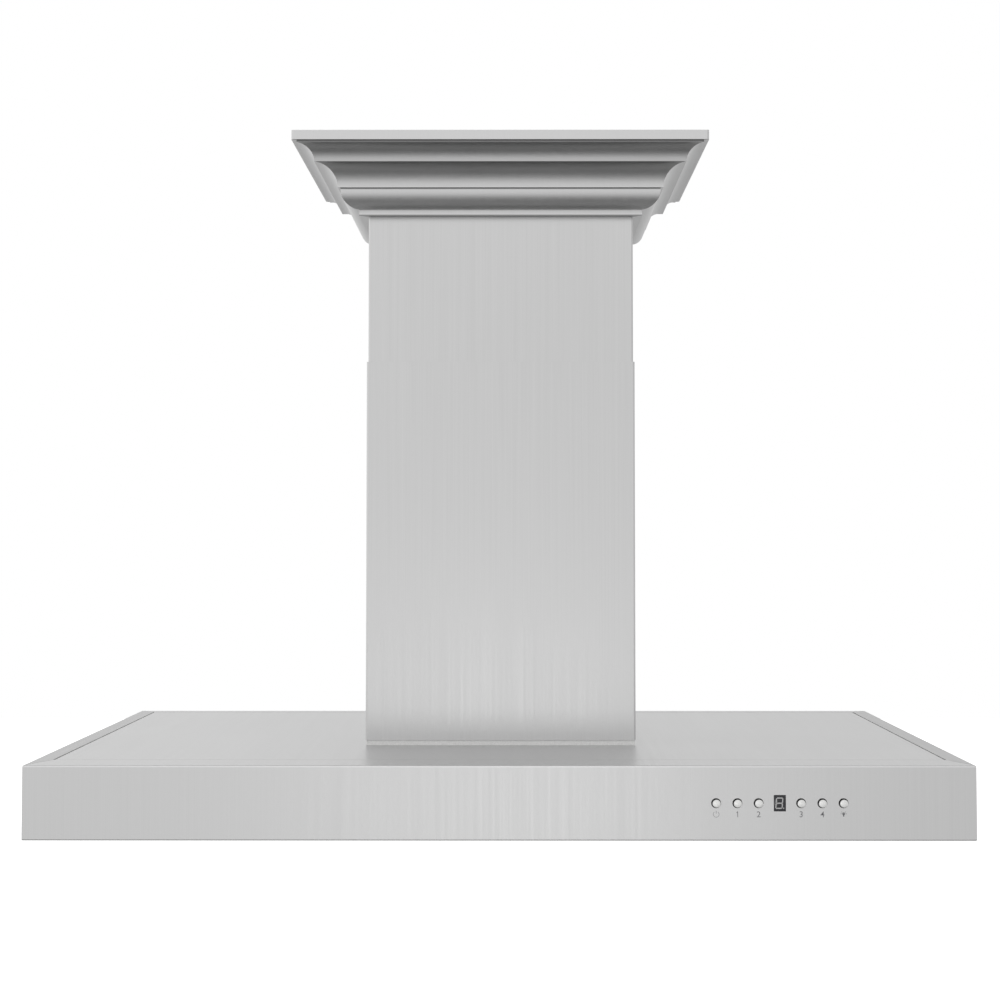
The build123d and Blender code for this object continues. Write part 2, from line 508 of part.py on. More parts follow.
def motor_bearings():
    rings = Part()
    for x in (SCROLL_X1, MOTOR_X1 - BEARING_L):
        ring = rod(BEARING_R, (x, AXIS_Y, AXIS_Z), (1, 0, 0), BEARING_L)
        rings += ring - rod(SHAFT_R + RUNNING, (x - 1, AXIS_Y, AXIS_Z), (1, 0, 0), BEARING_L + 2)
    return rings


STATOR_X0, STATOR_X1, ROTOR_R = SCROLL_X1 + 14, MOTOR_X1 - 14, 23.0


def motor_stator():
    ring = rod(MOTOR_R - 2, (STATOR_X0, AXIS_Y, AXIS_Z), (1, 0, 0), STATOR_X1 - STATOR_X0)
    return ring - rod(ROTOR_R + 0.6, (STATOR_X0 - 1, AXIS_Y, AXIS_Z), (1, 0, 0), STATOR_X1 - STATOR_X0 + 2)


def motor_rotor():
    """The rotor with its shaft, which reaches through the wheel's hub."""
    rotor = rod(ROTOR_R, (STATOR_X0, AXIS_Y, AXIS_Z), (1, 0, 0), STATOR_X1 - STATOR_X0)
    return rotor + rod(SHAFT_R, (WHEEL_X1 - 24, AXIS_Y, AXIS_Z), (1, 0, 0), MOTOR_X1 + 1 - WHEEL_X1 + 24)


def throat_to_round(inset, radius):
    """The body between the throat's rectangle and the collar's circle."""
    x0, x1 = SCROLL_X0 + inset, SCROLL_X1 - inset
    y0, y1 = THROAT_Y + inset, AXIS_Y + SCROLL_R1 - inset
    low = Plane.XY.offset(BOX_TOP) * Pos((x0 + x1) / 2, (y0 + y1) / 2) * Rectangle(x1 - x0, y1 - y0)
    return loft([low, Plane.XY.offset(COLLAR_Z) * Circle(radius)])


def outlet_transition():
    """The adapter from the blower's rectangular outlet to the round collar."""
    return throat_to_round(0, COLLAR_R) - throat_to_round(BOX_SHEET, COLLAR_R - COLLAR_T)


def duct_collar():
    """The round collar with a centre bar between the two damper flaps."""
    collar = rod(COLLAR_R, (0, 0, COLLAR_Z), (0, 0, 1), COLLAR_H)
    collar -= rod(COLLAR_R - COLLAR_T, (0, 0, COLLAR_Z - 1), (0, 0, 1), COLLAR_H + 2)
    pin_z = COLLAR_Z + FLAP_PIN_UP
    bar = slab(2 * (COLLAR_R - 1), 3.0, pin_z - 2, pin_z + 2)
    collar += bar
    for y in (-FLAP_PIN_Y, FLAP_PIN_Y):
        collar -= rod(FLAP_PIN_R + FLAP_PLAY, (-COLLAR_R - 1, y, pin_z), (1, 0, 0), 2 * COLLAR_R + 2)
    return collar


def damper_flap(side):
    """A half-round flap on its own pin; side is -1 for the front one and 1 for the rear one."""
    pin_z = COLLAR_Z + FLAP_PIN_UP
    disc = rod(COLLAR_R - COLLAR_T - 0.7, (0, 0, pin_z - FLAP_T / 2), (0, 0, 1), FLAP_T)
    disc -= block(-COLLAR_R, COLLAR_R, -COLLAR_R, FLAP_PIN_Y, pin_z - 5, pin_z + 5)
    flap = disc + rod(FLAP_PIN_R, (-COLLAR_R + 0.3, FLAP_PIN_Y, pin_z), (1, 0, 0), 2 * COLLAR_R - 0.6)
    return in_corner(flap, 1, side)


# ---- wiring parts ------------------------------------------------------------------------
def junction_box():
    box = slab(JBOX_W, JBOX_D, BOX_TOP, BOX_TOP + JBOX_H, JBOX_X, JBOX_Y)
    return box - slab(JBOX_W - 2.4, JBOX_D - 2.4, BOX_TOP + 1.2, BOX_TOP + JBOX_H + 1, JBOX_X, JBOX_Y)


def junction_box_cover():
    z = BOX_TOP + JBOX_H
    lid = slab(JBOX_W + 1, JBOX_D + 1, z, z + 1.5, JBOX_X, JBOX_Y)
    return lid - rod(8, (JBOX_X, JBOX_Y, z - 1), (0, 0, 1), 5)


def cable_gland():
    """The supply cable's gland: thread through the cover, hexagon and domed cap above it."""
    z = BOX_TOP + JBOX_H + 1.5
    gland = rod(8, (JBOX_X, JBOX_Y, z - 7), (0, 0, 1), 7)
    gland += extrude(Pos(JBOX_X, JBOX_Y, z) * RegularPolygon(11, 6), 6)
    cap = rod(9, (JBOX_X, JBOX_Y, z + 6), (0, 0, 1), 9)
    gland += fillet(cap.edges().group_by(Axis.Z)[-1], 3)
    return gland - rod(GLAND_BORE, (JBOX_X, JBOX_Y, z - 8), (0, 0, 1), 24)


def capacitor():
    """The motor's run capacitor, standing on the blower box, with two terminals."""
    can = rod(CAP_R, (CAP_X, CAP_Y, BOX_TOP), (0, 0, 1), CAP_H)
    can = fillet(can.edges().group_by(Axis.Z)[-1], 2)
    for side in (-1, 1):
        can += slab(0.8, 6.3, BOX_TOP + CAP_H - 1, BOX_TOP + CAP_H + 8, CAP_X + side * 5, CAP_Y)
    return can


# ---- controls ----------------------------------------------------------------------------
INSIDE_Y = FRONT_Y + CANOPY_SHEET             # inner face of the skirt's front wall
BOARD_Y = INSIDE_Y + BOARD_IN
STEM_END = BOARD_Y - 5.0


def control_housing():
    """Tray behind the front wall, open towards it."""
    z0, z1 = CONTROL_Z - HOUSING_H / 2, CONTROL_Z + HOUSING_H / 2
    x0, x1 = CONTROL_X - HOUSING_W / 2, CONTROL_X + HOUSING_W / 2
    t = HOUSING_T
    tray = block(x0, x1, INSIDE_Y, INSIDE_Y + HOUSING_DEEP, z0, z1)
    tray -= block(x0 + t, x1 - t, INSIDE_Y - 1, INSIDE_Y + HOUSING_DEEP - t, z0 + t, z1 - t)
    for x in (x0 + 8, x1 - 8):
        tray += rod(3, (x, BOARD_Y + BOARD_T, CONTROL_Z), (0, 1, 0), HOUSING_DEEP - BOARD_IN - BOARD_T)
    return tray


def control_board():
    """The circuit board with its six key switches, numeral display and plug header."""
    w, h = HOUSING_W - 2 * HOUSING_T - 1, HOUSING_H - 2 * HOUSING_T - 1
    board = slab(w, BOARD_T, CONTROL_Z - h / 2, CONTROL_Z + h / 2, CONTROL_X, BOARD_Y + BOARD_T / 2)
    for _, place in BUTTONS:
        x = CONTROL_X + place * BUTTON_PITCH
        board += block(x - 3, x + 3, BOARD_Y - 2.2, BOARD_Y, CONTROL_Z - 3, CONTROL_Z + 3)
        board += rod(1.75, (x, STEM_END + BUTTON_TRAVEL + 0.3, CONTROL_Z), (0, 1, 0), 1.8)
    board += block(CONTROL_X - 5, CONTROL_X + 5, INSIDE_Y + 2.4, BOARD_Y, CONTROL_Z - 7, CONTROL_Z + 7)
    return board + block(CONTROL_X - 12, CONTROL_X + 12, BOARD_Y + BOARD_T, BOARD_Y + BOARD_T + 7,
                         CONTROL_Z - 12, CONTROL_Z - 6)


def display_window():
    """Clear window, flush with the front wall, with a lip behind it."""
    w, h = WINDOW_W, WINDOW_H
    pane = slab(w, CANOPY_SHEET, CONTROL_Z - h / 2, CONTROL_Z + h / 2, CONTROL_X, FRONT_Y + CANOPY_SHEET / 2)
    lip = slab(w + 4, 1.6, CONTROL_Z - h / 2 - 2, CONTROL_Z + h / 2 + 2, CONTROL_X, INSIDE_Y + 0.8)
    return pane + lip


def button(place):
    """A round domed cap on a stem, held behind the wall by its collar."""
    x = CONTROL_X + place * BUTTON_PITCH
    cap = rod(BUTTON_R, (x, FRONT_Y - BUTTON_PROUD, CONTROL_Z), (0, 1, 0), INSIDE_Y + 0.4 - FRONT_Y + BUTTON_PROUD)
    cap = fillet(cap.edges().group_by(Axis.Y)[0], 1.2)
    cap += rod(BUTTON_HOLE_R + 1.3, (x, INSIDE_Y + 0.4, CONTROL_Z), (0, 1, 0), 1.0)
    return cap + rod(2.0, (x, INSIDE_Y + 1.0, CONTROL_Z), (0, 1, 0), STEM_END - INSIDE_Y - 1.0)


# ---- baffle filters ----------------------------------------------------------------------
def filter_frame(place):
    """Channel frame, open inwards, with two tongues at the rear that it swings on."""
    x, z0, z1 = place * FILTER_PITCH, FILTER_Z, FILTER_Z + FILTER_H
    depth, t = FILTER_Y1 - FILTER_Y0, FILTER_SHEET
    frame = slab(FILTER_W, depth, z0, z1, x)
    frame -= slab(FILTER_W - 2 * t, depth - 2 * t, z0 + t, z1 - t, x)
    frame -= slab(FILTER_W - 2 * FILTER_RAIL, depth - 2 * FILTER_RAIL, z0 - 1, z1 + 1, x)
    for side in (-1, 1):
        tx = x + side * TONGUE_X
        frame += block(tx - TONGUE_W / 2, tx + TONGUE_W / 2, FILTER_Y1 - 1, TONGUE_END,
                       z0 + 0.2, z0 + 0.2 + TONGUE_T)
    return frame


def baffle(x, z, up):
    """One channel-shaped slat; up turns its legs upwards."""
    length = FILTER_Y1 - FILTER_Y0 - 2 * FILTER_SHEET - 1
    t = FILTER_SHEET
    slat = slab(BAFFLE_W, length, z, z + BAFFLE_LEG, x)
    shift = t if up else -t
    return slat - slab(BAFFLE_W - 2 * t, length + 2, z + shift, z + BAFFLE_LEG + shift, x)


def filter_baffles(place):
    """Two layers of slats: the upper ones cover the gaps between the lower ones."""
    x = place * FILTER_PITCH
    low = FILTER_Z + FILTER_SHEET
    high = FILTER_Z + FILTER_H - FILTER_SHEET - BAFFLE_LEG
    slats = [baffle(x + i * BAFFLE_PITCH, low, True) for i in range(-3, 4)]
    slats += [baffle(x + (i + 0.5) * BAFFLE_PITCH, high, False) for i in range(-3, 3)]
    return sum(slats, Part())


HANDLE_W, HANDLE_DROP, HANDLE_R = 60.0, 11.0, 2.0


def filter_handle(place):
    """A bow handle of round bar under the filter's front rail."""
    x, y = place * FILTER_PITCH, FILTER_Y0 + FILTER_RAIL / 2
    top, low = FILTER_Z, FILTER_Z - HANDLE_DROP + HANDLE_R
    half = HANDLE_W / 2
    path = FilletPolyline((x - half, y, top), (x - half, y, low), (x + half, y, low), (x + half, y, top),
                          radius=6)
    bow = sweep(Plane(path ^ 0) * Circle(HANDLE_R), path=path)
    for side in (-1, 1):
        bow += rod(4.5, (x + side * half, y, top - 1), (0, 0, 1), 1)
    return bow


# ---- write each piece --------------------------------------------------------------------
def pieces():
    """Every sub-part by name."""
    parts = {
        "ceiling_plate": ceiling_plate(), "upper_chimney": upper_chimney(),
        "crown_front": crown((0, -1)), "crown_rear": crown((0, 1)),
        "crown_left": crown((-1, 0)), "crown_right": crown((1, 0)),
        "crown_brackets": crown_brackets(), "crown_screws": crown_screws(),
        "frame_screws": frame_screws(), "clamp_bolts": clamp_bolts(), "base_screws": base_screws(),
        "canopy_skirt": canopy_skirt(), "top_panel": top_panel(), "underside_panel": underside_panel(),
        "lower_chimney": lower_chimney(), "chimney_gasket": chimney_gasket(),
        "light_housings": light_housings(), "light_lenses": light_lenses(),
        "blower_box": blower_box(), "scroll_housing": scroll_housing(), "inlet_ring": inlet_ring(),
        "impeller": impeller(), "motor_housing": motor_housing(), "motor_bearings": motor_bearings(),
        "motor_stator": motor_stator(), "motor_rotor": motor_rotor(),
        "outlet_transition": outlet_transition(), "duct_collar": duct_collar(),
        "damper_flap_front": damper_flap(-1), "damper_flap_rear": damper_flap(1),
        "junction_box": junction_box(), "junction_box_cover": junction_box_cover(),
        "cable_gland": cable_gland(), "capacitor": capacitor(),
        "control_housing": control_housing(), "control_board": control_board(),
        "display_window": display_window(),
    }
    for corner, name in SIDE_NAMES.items():
        parts["upper_upright_" + name] = in_corner(upper_upright(), *corner)
        parts["lower_upright_" + name] = in_corner(lower_upright(), *corner)
    for name, place in BUTTONS:
        parts[name] = button(place)
    for name, place in FILTERS:
        parts["filter_frame_" + name] = filter_frame(place)
        parts["filter_baffles_" + name] = filter_baffles(place)
        parts["filter_handle_" + name] = filter_handle(place)
    return parts


os.makedirs("parts", exist_ok=True)
for node, shape in pieces().items():
    export_step(shape, f"parts/{node}.step")
    print(node)
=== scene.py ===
import json
from math import cos, radians, sin, tan

import bpy
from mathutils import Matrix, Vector


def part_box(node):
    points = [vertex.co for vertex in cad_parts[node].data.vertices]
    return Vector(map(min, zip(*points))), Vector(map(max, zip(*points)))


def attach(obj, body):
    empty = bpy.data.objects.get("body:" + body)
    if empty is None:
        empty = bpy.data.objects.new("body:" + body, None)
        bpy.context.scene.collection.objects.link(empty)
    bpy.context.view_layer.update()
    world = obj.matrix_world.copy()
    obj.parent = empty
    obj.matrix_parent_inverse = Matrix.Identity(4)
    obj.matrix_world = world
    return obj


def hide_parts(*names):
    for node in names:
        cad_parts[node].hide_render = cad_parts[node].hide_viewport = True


bl_info = {
    "name": "Island Range Hood",
    "version": (1, 0, 0),
    "blender": (4, 5, 0),
    "location": "View3D > Sidebar > Hood",
    "description": "Builds the visible pieces, finishes and studio of a ceiling-hung range hood",
    "category": "Object",
}

MM = 0.001
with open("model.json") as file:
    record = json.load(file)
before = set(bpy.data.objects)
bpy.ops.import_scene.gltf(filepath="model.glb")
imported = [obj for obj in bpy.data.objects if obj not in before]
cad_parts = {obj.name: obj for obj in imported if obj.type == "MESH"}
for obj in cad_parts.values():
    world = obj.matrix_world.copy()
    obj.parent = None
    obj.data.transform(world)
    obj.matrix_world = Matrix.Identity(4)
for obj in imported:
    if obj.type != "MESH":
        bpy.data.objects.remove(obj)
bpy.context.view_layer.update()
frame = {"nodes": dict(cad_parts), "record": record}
NODES = frame["nodes"]

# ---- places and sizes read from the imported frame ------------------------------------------
SKIRT_LOW, SKIRT_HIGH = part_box("canopy_skirt")
CHIMNEY_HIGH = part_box("upper_chimney")[1]
WINDOW_LOW, WINDOW_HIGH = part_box("display_window")
KEYS = ("power_button", "speed_1_button", "speed_2_button",
        "speed_3_button", "speed_4_button", "light_button")
FRONT_Y = SKIRT_LOW.y
# the canopy's flange round its top panel, and the strip along its top edge that gets a painted highlight
FRONT_FLANGE, SIDE_FLANGE = 48 * MM, 18 * MM
PAINTED_HIGHLIGHT_EDGE = 1.7 * MM
# the display pane: inside the window's lip, and its depths behind the canopy's front
PANE_IN, PANE_FRONT, PANE_BACK, LIP_FRONT = 2.05 * MM, 0.15 * MM, 1.3 * MM, 1.2 * MM
# a segment's width, and its front and back about the canopy's front
SEGMENT_W, SEGMENT_FRONT, SEGMENT_BACK = 1.05 * MM, -0.02 * MM, 0.1 * MM
# a key's radii, and how far its cap drops to the lower right in its hole
KEY_R, KEY_NECK_R, KEY_COLLAR_R, KEY_STEM_R = 3.85 * MM, 3.5 * MM, 5.95 * MM, 2 * MM
KEY_PLAY = 0.32 * MM
# how far behind a key's front its parts end or start
CAP_BACK, NECK_START, NECK_LONG = 1.3 * MM, 1.2 * MM, 3.1 * MM
COLLAR_START, COLLAR_THICK, STEM_START = 4.2 * MM, 1.0 * MM, 5.1 * MM
CAP_ROUND, DOME_STEPS, DOME_STEP_IN = 0.5 * MM, 3, 0.9 * MM
LAMP_RIM_R, LAMP_R, LENS_R = 30 * MM, 26 * MM, 23.8 * MM
# a filter's two rear tongues, and the folds of its baffles
TONGUE_LONG, TONGUE_X, TONGUE_W, TONGUE_THICK, TONGUE_CORNER_R = 10.5 * MM, 70 * MM, 24 * MM, 1.2 * MM, 3 * MM
SLAT_PITCH, SLAT_W, SLAT_LEG, SLAT_SHEET, SLAT_BEND = 34 * MM, 24 * MM, 4 * MM, 0.8 * MM, 1.6 * MM
SAME = 1e-6


def centre(node):
    """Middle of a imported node's box."""
    low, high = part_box(node)
    return (low + high) / 2


# the crown's heights in millimetres that are darkened with painted shade, each with its share of painted
# shade at its low and high end:
# under the fascia, upper cove, above the lower cove, lower cove, above the round, the round, at the foot
PAINTED_SHADE_BANDS = ((-11.0, -9.5, 0.55, 0.55), (-27.9, -11.0, 0.2, 0.42), (-28.9, -27.9, 0.55, 0.55),
          (-51.0, -28.9, 0.0, 0.42), (-52.4, -51.0, 0.55, 0.55), (-71.0, -52.4, 0.26, 0.0),
          (-80.0, -76.0, 0.55, 0.55))

# ---- what a user would change -------------------------------------------------------------
def colour_prop(label, text, value):
    return bpy.props.FloatVectorProperty(name=label, description=text, default=value,
                                         subtype="COLOR", size=4, min=0, max=1)


class HoodFinish(bpy.types.PropertyGroup):
    steel_colour: colour_prop("Steel", "Base colour of the brushed sheet", (0.645, 0.645, 0.645, 1))
    steel_roughness: bpy.props.FloatProperty(
        name="Steel roughness", description="Mean roughness of the brushed sheet", default=0.34, min=0, max=1)
    grain_depth: bpy.props.FloatProperty(
        name="Grain depth", description="Strength of the brushed grain's relief", default=0.06, min=0, max=1)
    legend_colour: colour_prop("Legends", "Ink of the key legends", (0.12, 0.12, 0.125, 1))
    digit_colour: colour_prop("Digit", "Unlit segments behind the window", (0.33, 0.33, 0.33, 1))


class HoodSizes(bpy.types.PropertyGroup):
    legend_height: bpy.props.FloatProperty(
        name="Legend height", description="Height of the figures under the keys", default=5.5 * MM,
        unit="LENGTH")
    legend_drop: bpy.props.FloatProperty(
        name="Legend drop", description="From a key's centre down to its legend's centre", default=10.4 * MM,
        unit="LENGTH")
    key_dome: bpy.props.FloatProperty(
        name="Key dome", description="Height of one step of a key's dome", default=0.16 * MM, unit="LENGTH")
    ink: bpy.props.FloatProperty(
        name="Ink", description="Thickness of a printed legend", default=0.06 * MM, unit="LENGTH")
    digit_height: bpy.props.FloatProperty(
        name="Digit height", description="Height of the seven-segment figure", default=9.6 * MM,
        unit="LENGTH")


class HoodStudio(bpy.types.PropertyGroup):
    floor_drop: bpy.props.FloatProperty(
        name="Floor", description="Ceiling to floor", default=2.4, unit="LENGTH")
    eye: bpy.props.FloatVectorProperty(
        name="Eye", description="Place of the camera", default=(0.0163, -2.1854, -0.4155),
        subtype="TRANSLATION")
    tilt: bpy.props.FloatProperty(
        name="Tilt", description="Camera's upward tilt", default=radians(2.59), subtype="ANGLE")
    turn: bpy.props.FloatProperty(
        name="Turn", description="Camera's turn to the left", default=radians(0.13), subtype="ANGLE")
    lens: bpy.props.FloatProperty(
        name="Lens", description="Focal length in millimetres on a 36 mm sensor", default=71.54)
    shift: bpy.props.FloatVectorProperty(
        name="Shift", description="Lens shift across and up", default=(-0.0118, -0.05), size=2)


# ---- shader maths -------------------------------------------------------------------------
RELIEF = 0.2 * MM


class Signal:
    """A shader socket; arithmetic on it adds Math nodes."""

    def __init__(self, finish, socket):
        self.finish = finish
        self.socket = socket

    def maths(self, operation, first, second=None, clamp=False):
        values = {0: first} if second is None else {0: first, 1: second}
        return self.finish.add("ShaderNodeMath", {"operation": operation, "use_clamp": clamp}, values)

    def __add__(self, other):
        return self.maths("ADD", self, other)

    __radd__ = __add__

    def __sub__(self, other):
        return self.maths("SUBTRACT", self, other)

    def __rsub__(self, other):
        return self.maths("SUBTRACT", other, self)

    def __mul__(self, other):
        return self.maths("MULTIPLY", self, other)

    __rmul__ = __mul__

    def above(self, level):
        return self.maths("GREATER_THAN", self, level)

    def below(self, level):
        return self.maths("LESS_THAN", self, level)

    def size(self):
        return self.maths("ABSOLUTE", self)

    def held(self):
        return self.maths("ADD", self, 0.0, clamp=True)


class Finish:
    """A material and the nodes that make it."""

    def __init__(self, name):
        self.material = bpy.data.materials.new(name)
        self.material.use_nodes = True
        self.tree = self.material.node_tree
        self.shader = self.tree.nodes["Principled BSDF"]

    def add(self, kind, settings=None, values=None, output=0):
        """A node with its settings, such as an operation or a ramp's stops, and its sockets' values."""
        node = self.tree.nodes.new(kind)
        for key, value in (settings or {}).items():
            if key == "stops":
                self.set_stops(node.color_ramp, value)
            else:
                setattr(node, key, value)
        for key, value in (values or {}).items():
            self.feed(node.inputs[key], value)
        return Signal(self, node.outputs[output])

    def set_stops(self, ramp, stops):
        while len(ramp.elements) < len(stops):
            ramp.elements.new(1.0)
        for element, (place, grey) in zip(ramp.elements, stops):
            element.position = place
            element.color = (grey, grey, grey, 1)

    def feed(self, socket, value):
        if isinstance(value, Signal):
            self.tree.links.new(value.socket, socket)
        else:
            socket.default_value = value

    def surface(self, **values):
        """Sets the shader's sockets; an underscore in a name stands for a space."""
        for key, value in values.items():
            self.feed(self.shader.inputs[key.replace("_", " ")], value)
        return self.material

    def place(self, output="Object"):
        return self.add("ShaderNodeTexCoord", output=output)

    def axes(self, vector):
        node = self.tree.nodes.new("ShaderNodeSeparateXYZ")
        self.tree.links.new(vector.socket, node.inputs[0])
        return [Signal(self, socket) for socket in node.outputs]

    def stretched(self, vector, scale, detail=2.0, roughness=0.5):
        """Noise on coordinates that are scaled unevenly, which makes streaks."""
        mapped = self.add("ShaderNodeMapping", {}, {"Vector": vector, "Scale": scale})
        return self.add("ShaderNodeTexNoise", {"noise_dimensions": "3D"},
                        {"Vector": mapped, "Scale": 1.0, "Detail": detail, "Roughness": roughness})

    def tint(self, low, high, factor):
        """Mixes two colours by a factor."""
        return self.add("ShaderNodeMix", {"data_type": "RGBA", "clamp_factor": True},
                        {0: factor, 6: low, 7: high}, output=2)

    def bump(self, height, strength):
        return self.add("ShaderNodeBump", {},
                        {"Height": height, "Strength": strength, "Distance": RELIEF})


def shade(colour, factor):
    """A colour made lighter or darker."""
    return tuple(min(1.0, channel * factor) for channel in colour[:3]) + (1.0,)


# ---- finishes -----------------------------------------------------------------------------
# the brush's streaks by axis, as noise scales: dense across the grain and sparse along it
GRAIN_ACROSS, GRAIN_ALONG = 1500.0, 5.0
UPRIGHT = (GRAIN_ACROSS, GRAIN_ACROSS, GRAIN_ALONG)
FRONT_TO_BACK = (GRAIN_ACROSS, GRAIN_ALONG, GRAIN_ACROSS)
CLOUD = (7.0, 7.0, 5.0)
# colours of painted shade for the crown's hollows and the canopy's side flanges, and of a painted highlight
# for the canopy's top edges, then their shares on the side flanges and top edges
PAINTED_SHADE, PAINTED_HIGHLIGHT = (0.03, 0.03, 0.03, 1), (0.97, 0.97, 0.97, 1)
SIDE_FLANGE_PAINTED_SHADE, EDGE_PAINTED_HIGHLIGHT = 0.2, 0.4
# how much of the crown's painted shade its short sides hold, beside its front and back
SHORT_SIDE_PAINTED_SHADE = 0.1
LEVEL_NORMAL = 0.7


def broader(grain):
    """Wider streaks along the same grain."""
    return tuple(scale / (2 if scale == GRAIN_ALONG else 6) for scale in grain)


def streaked(f, point, fine, broad):
    """Fine streaks, broad streaks and slow clouding, added up."""
    cloud = f.stretched(point, CLOUD, 3.0, 0.6)
    return fine * 0.45 + broad * 0.35 + cloud * 0.2


def brushed_surface(f, colour, streaks, fine, roughness, depth):
    """Bare metal whose roughness and relief follow its streaks."""
    return f.surface(Base_Color=colour, Metallic=1.0,
                     Roughness=(streaks * 0.3 + (roughness - 0.15)).held(),
                     Normal=f.bump(fine, depth))


def crown_steel(name, colour, roughness, depth):
    """Brushed moulding, with painted shade darkening the reveals and hollows between its members."""
    f = Finish(name)
    point = f.place()
    x, y, height = f.axes(point)
    long_side = (y.size() - CHIMNEY_HIGH.y + CHIMNEY_HIGH.x).above(x.size())
    fine = f.stretched(point, UPRIGHT)
    broad = f.stretched(point, broader(UPRIGHT), 3.0)
    streaks = streaked(f, point, fine, broad)
    steel = f.tint(shade(colour, 0.9), shade(colour, 1.1), streaks)
    hollow_shade = 0.0
    # painted shade by height: each band darkens the steel in a hollow or reveal where shade falls
    for low, high, share_low, share_high in PAINTED_SHADE_BANDS:
        low, high = low * MM, high * MM
        slope = (share_high - share_low) / (high - low)
        share = (height - low) * slope + share_low
        hollow_shade = height.above(low) * (1 - height.above(high)) * share + hollow_shade
    hollow_shade = hollow_shade * (long_side * (1 - SHORT_SIDE_PAINTED_SHADE) + SHORT_SIDE_PAINTED_SHADE)
    # the steel is tinted towards the painted shade colour
    return brushed_surface(f, f.tint(steel, PAINTED_SHADE, hollow_shade.held()), streaks, fine, roughness, depth)


def brushed_steel(name, colour, roughness, depth):
    """Brushed sheet: long fine streaks, upright on the walls and front to back on level faces.

    The canopy's side flanges, up to their mitres, are darkened with painted shade, and its front
    and back top edges carry a painted highlight.
    """
    f = Finish(name)
    point = f.place()
    level = f.axes(f.place("Normal"))[2].size().above(LEVEL_NORMAL)
    x, y, z = f.axes(point)
    # the canopy's side flanges up to their mitres, which get painted shade
    beside = x.size() - (SKIRT_HIGH.x - SIDE_FLANGE)
    front_mitre = (beside * (FRONT_FLANGE / SIDE_FLANGE) + y).above(SKIRT_LOW.y + FRONT_FLANGE)
    back_mitre = (beside - y).above(SIDE_FLANGE - SKIRT_HIGH.y)
    side_flange_shade = front_mitre * back_mitre * beside.above(0.0) * level
    # a strip along the canopy's top front and back edges, which gets a painted highlight
    edge_highlight = (z.above(SKIRT_HIGH.z - PAINTED_HIGHLIGHT_EDGE) * z.below(0.5 * SKIRT_HIGH.z)
              * y.size().above(SKIRT_HIGH.y - PAINTED_HIGHLIGHT_EDGE))
    fine = f.add("ShaderNodeMix", {}, {0: level, 2: f.stretched(point, UPRIGHT),
                                       3: f.stretched(point, FRONT_TO_BACK)})
    broad = f.add("ShaderNodeMix", {}, {0: level, 2: f.stretched(point, broader(UPRIGHT), 3.0),
                                        3: f.stretched(point, broader(FRONT_TO_BACK), 3.0)})
    streaks = streaked(f, point, fine, broad)
    sheet = f.tint(shade(colour, 0.9), shade(colour, 1.1), streaks)
    # painted highlight on the top edges, then painted shade on the side flanges
    sheet = f.tint(sheet, PAINTED_HIGHLIGHT, edge_highlight * EDGE_PAINTED_HIGHLIGHT)
    sheet = f.tint(sheet, PAINTED_SHADE, side_flange_shade * SIDE_FLANGE_PAINTED_SHADE)
    return brushed_surface(f, sheet, streaks, fine, roughness, depth)


def zinc_coated(name, colour=(0.55, 0.56, 0.57, 1)):
    """Galvanised sheet with its pale crystal pattern."""
    f = Finish(name)
    cells = f.add("ShaderNodeTexVoronoi", {"feature": "F1"}, {"Vector": f.place(), "Scale": 90.0}, output=1)
    grey = f.add("ShaderNodeRGBToBW", {}, {0: cells})
    f.surface(Base_Color=f.tint(shade(colour, 0.75), shade(colour, 1.2), grey), Metallic=1.0,
              Roughness=(grey * 0.25 + 0.3).held())
    return f.material


def moulded(name, colour, roughness=0.45, metallic=0.0, grain=900.0, depth=0.15):
    """Moulded plastic, enamel or rubber with a fine even texture."""
    f = Finish(name)
    noise = f.add("ShaderNodeTexNoise", {}, {"Vector": f.place(), "Scale": grain, "Detail": 2.0})
    f.surface(Base_Color=f.tint(shade(colour, 0.85), shade(colour, 1.15), noise), Metallic=metallic,
              Roughness=(noise * 0.2 + (roughness - 0.1)).held(), Normal=f.bump(noise, depth))
    return f.material


def turned_metal(name, colour, roughness):
    """Bright machined metal with faint wear."""
    f = Finish(name)
    wear = f.add("ShaderNodeTexNoise", {}, {"Vector": f.place(), "Scale": 350.0, "Detail": 4.0})
    f.surface(Base_Color=f.tint(shade(colour, 0.92), shade(colour, 1.06), wear), Metallic=1.0,
              Roughness=(wear * 0.16 + (roughness - 0.08)).held())
    return f.material


def turned_face(name, colour, roughness, spot):
    """Metal with fine rings turned about a spot on the front wall."""
    f = Finish(name)
    local = f.add("ShaderNodeMapping", {"vector_type": "POINT"},
                  {"Vector": f.place(), "Location": tuple(-spot)})
    x, _, z = f.axes(local)
    far = f.add("ShaderNodeMath", {"operation": "SQRT"}, {0: x * x + z * z})
    rings = f.add("ShaderNodeTexNoise", {"noise_dimensions": "1D"}, {"W": far * 9000.0, "Scale": 1.0})
    f.surface(Base_Color=f.tint(shade(colour, 0.9), shade(colour, 1.08), rings),
              Metallic=1.0, Roughness=(rings * 0.2 + (roughness - 0.1)).held(),
              Normal=f.bump(rings, 0.15))
    return f.material


def circuit(name):
    """Green board with darker tracks."""
    f = Finish(name)
    tracks = f.add("ShaderNodeTexBrick", {}, {"Vector": f.place(), "Scale": 160.0, "Mortar Size": 0.03})
    grey = f.add("ShaderNodeRGBToBW", {}, {0: tracks})
    f.surface(Base_Color=f.tint((0.01, 0.07, 0.03, 1), (0.03, 0.2, 0.08, 1), grey), Roughness=0.35)
    return f.material


def smoked_glass(name):
    """Dark window over the display."""
    f = Finish(name)
    haze = f.add("ShaderNodeTexNoise", {}, {"Vector": f.place(), "Scale": 200.0})
    f.surface(Base_Color=(0.02, 0.02, 0.022, 1), Roughness=(haze * 0.05 + 0.12).held(),
              Alpha=0.45, Specular_IOR_Level=0.3)
    return f.material


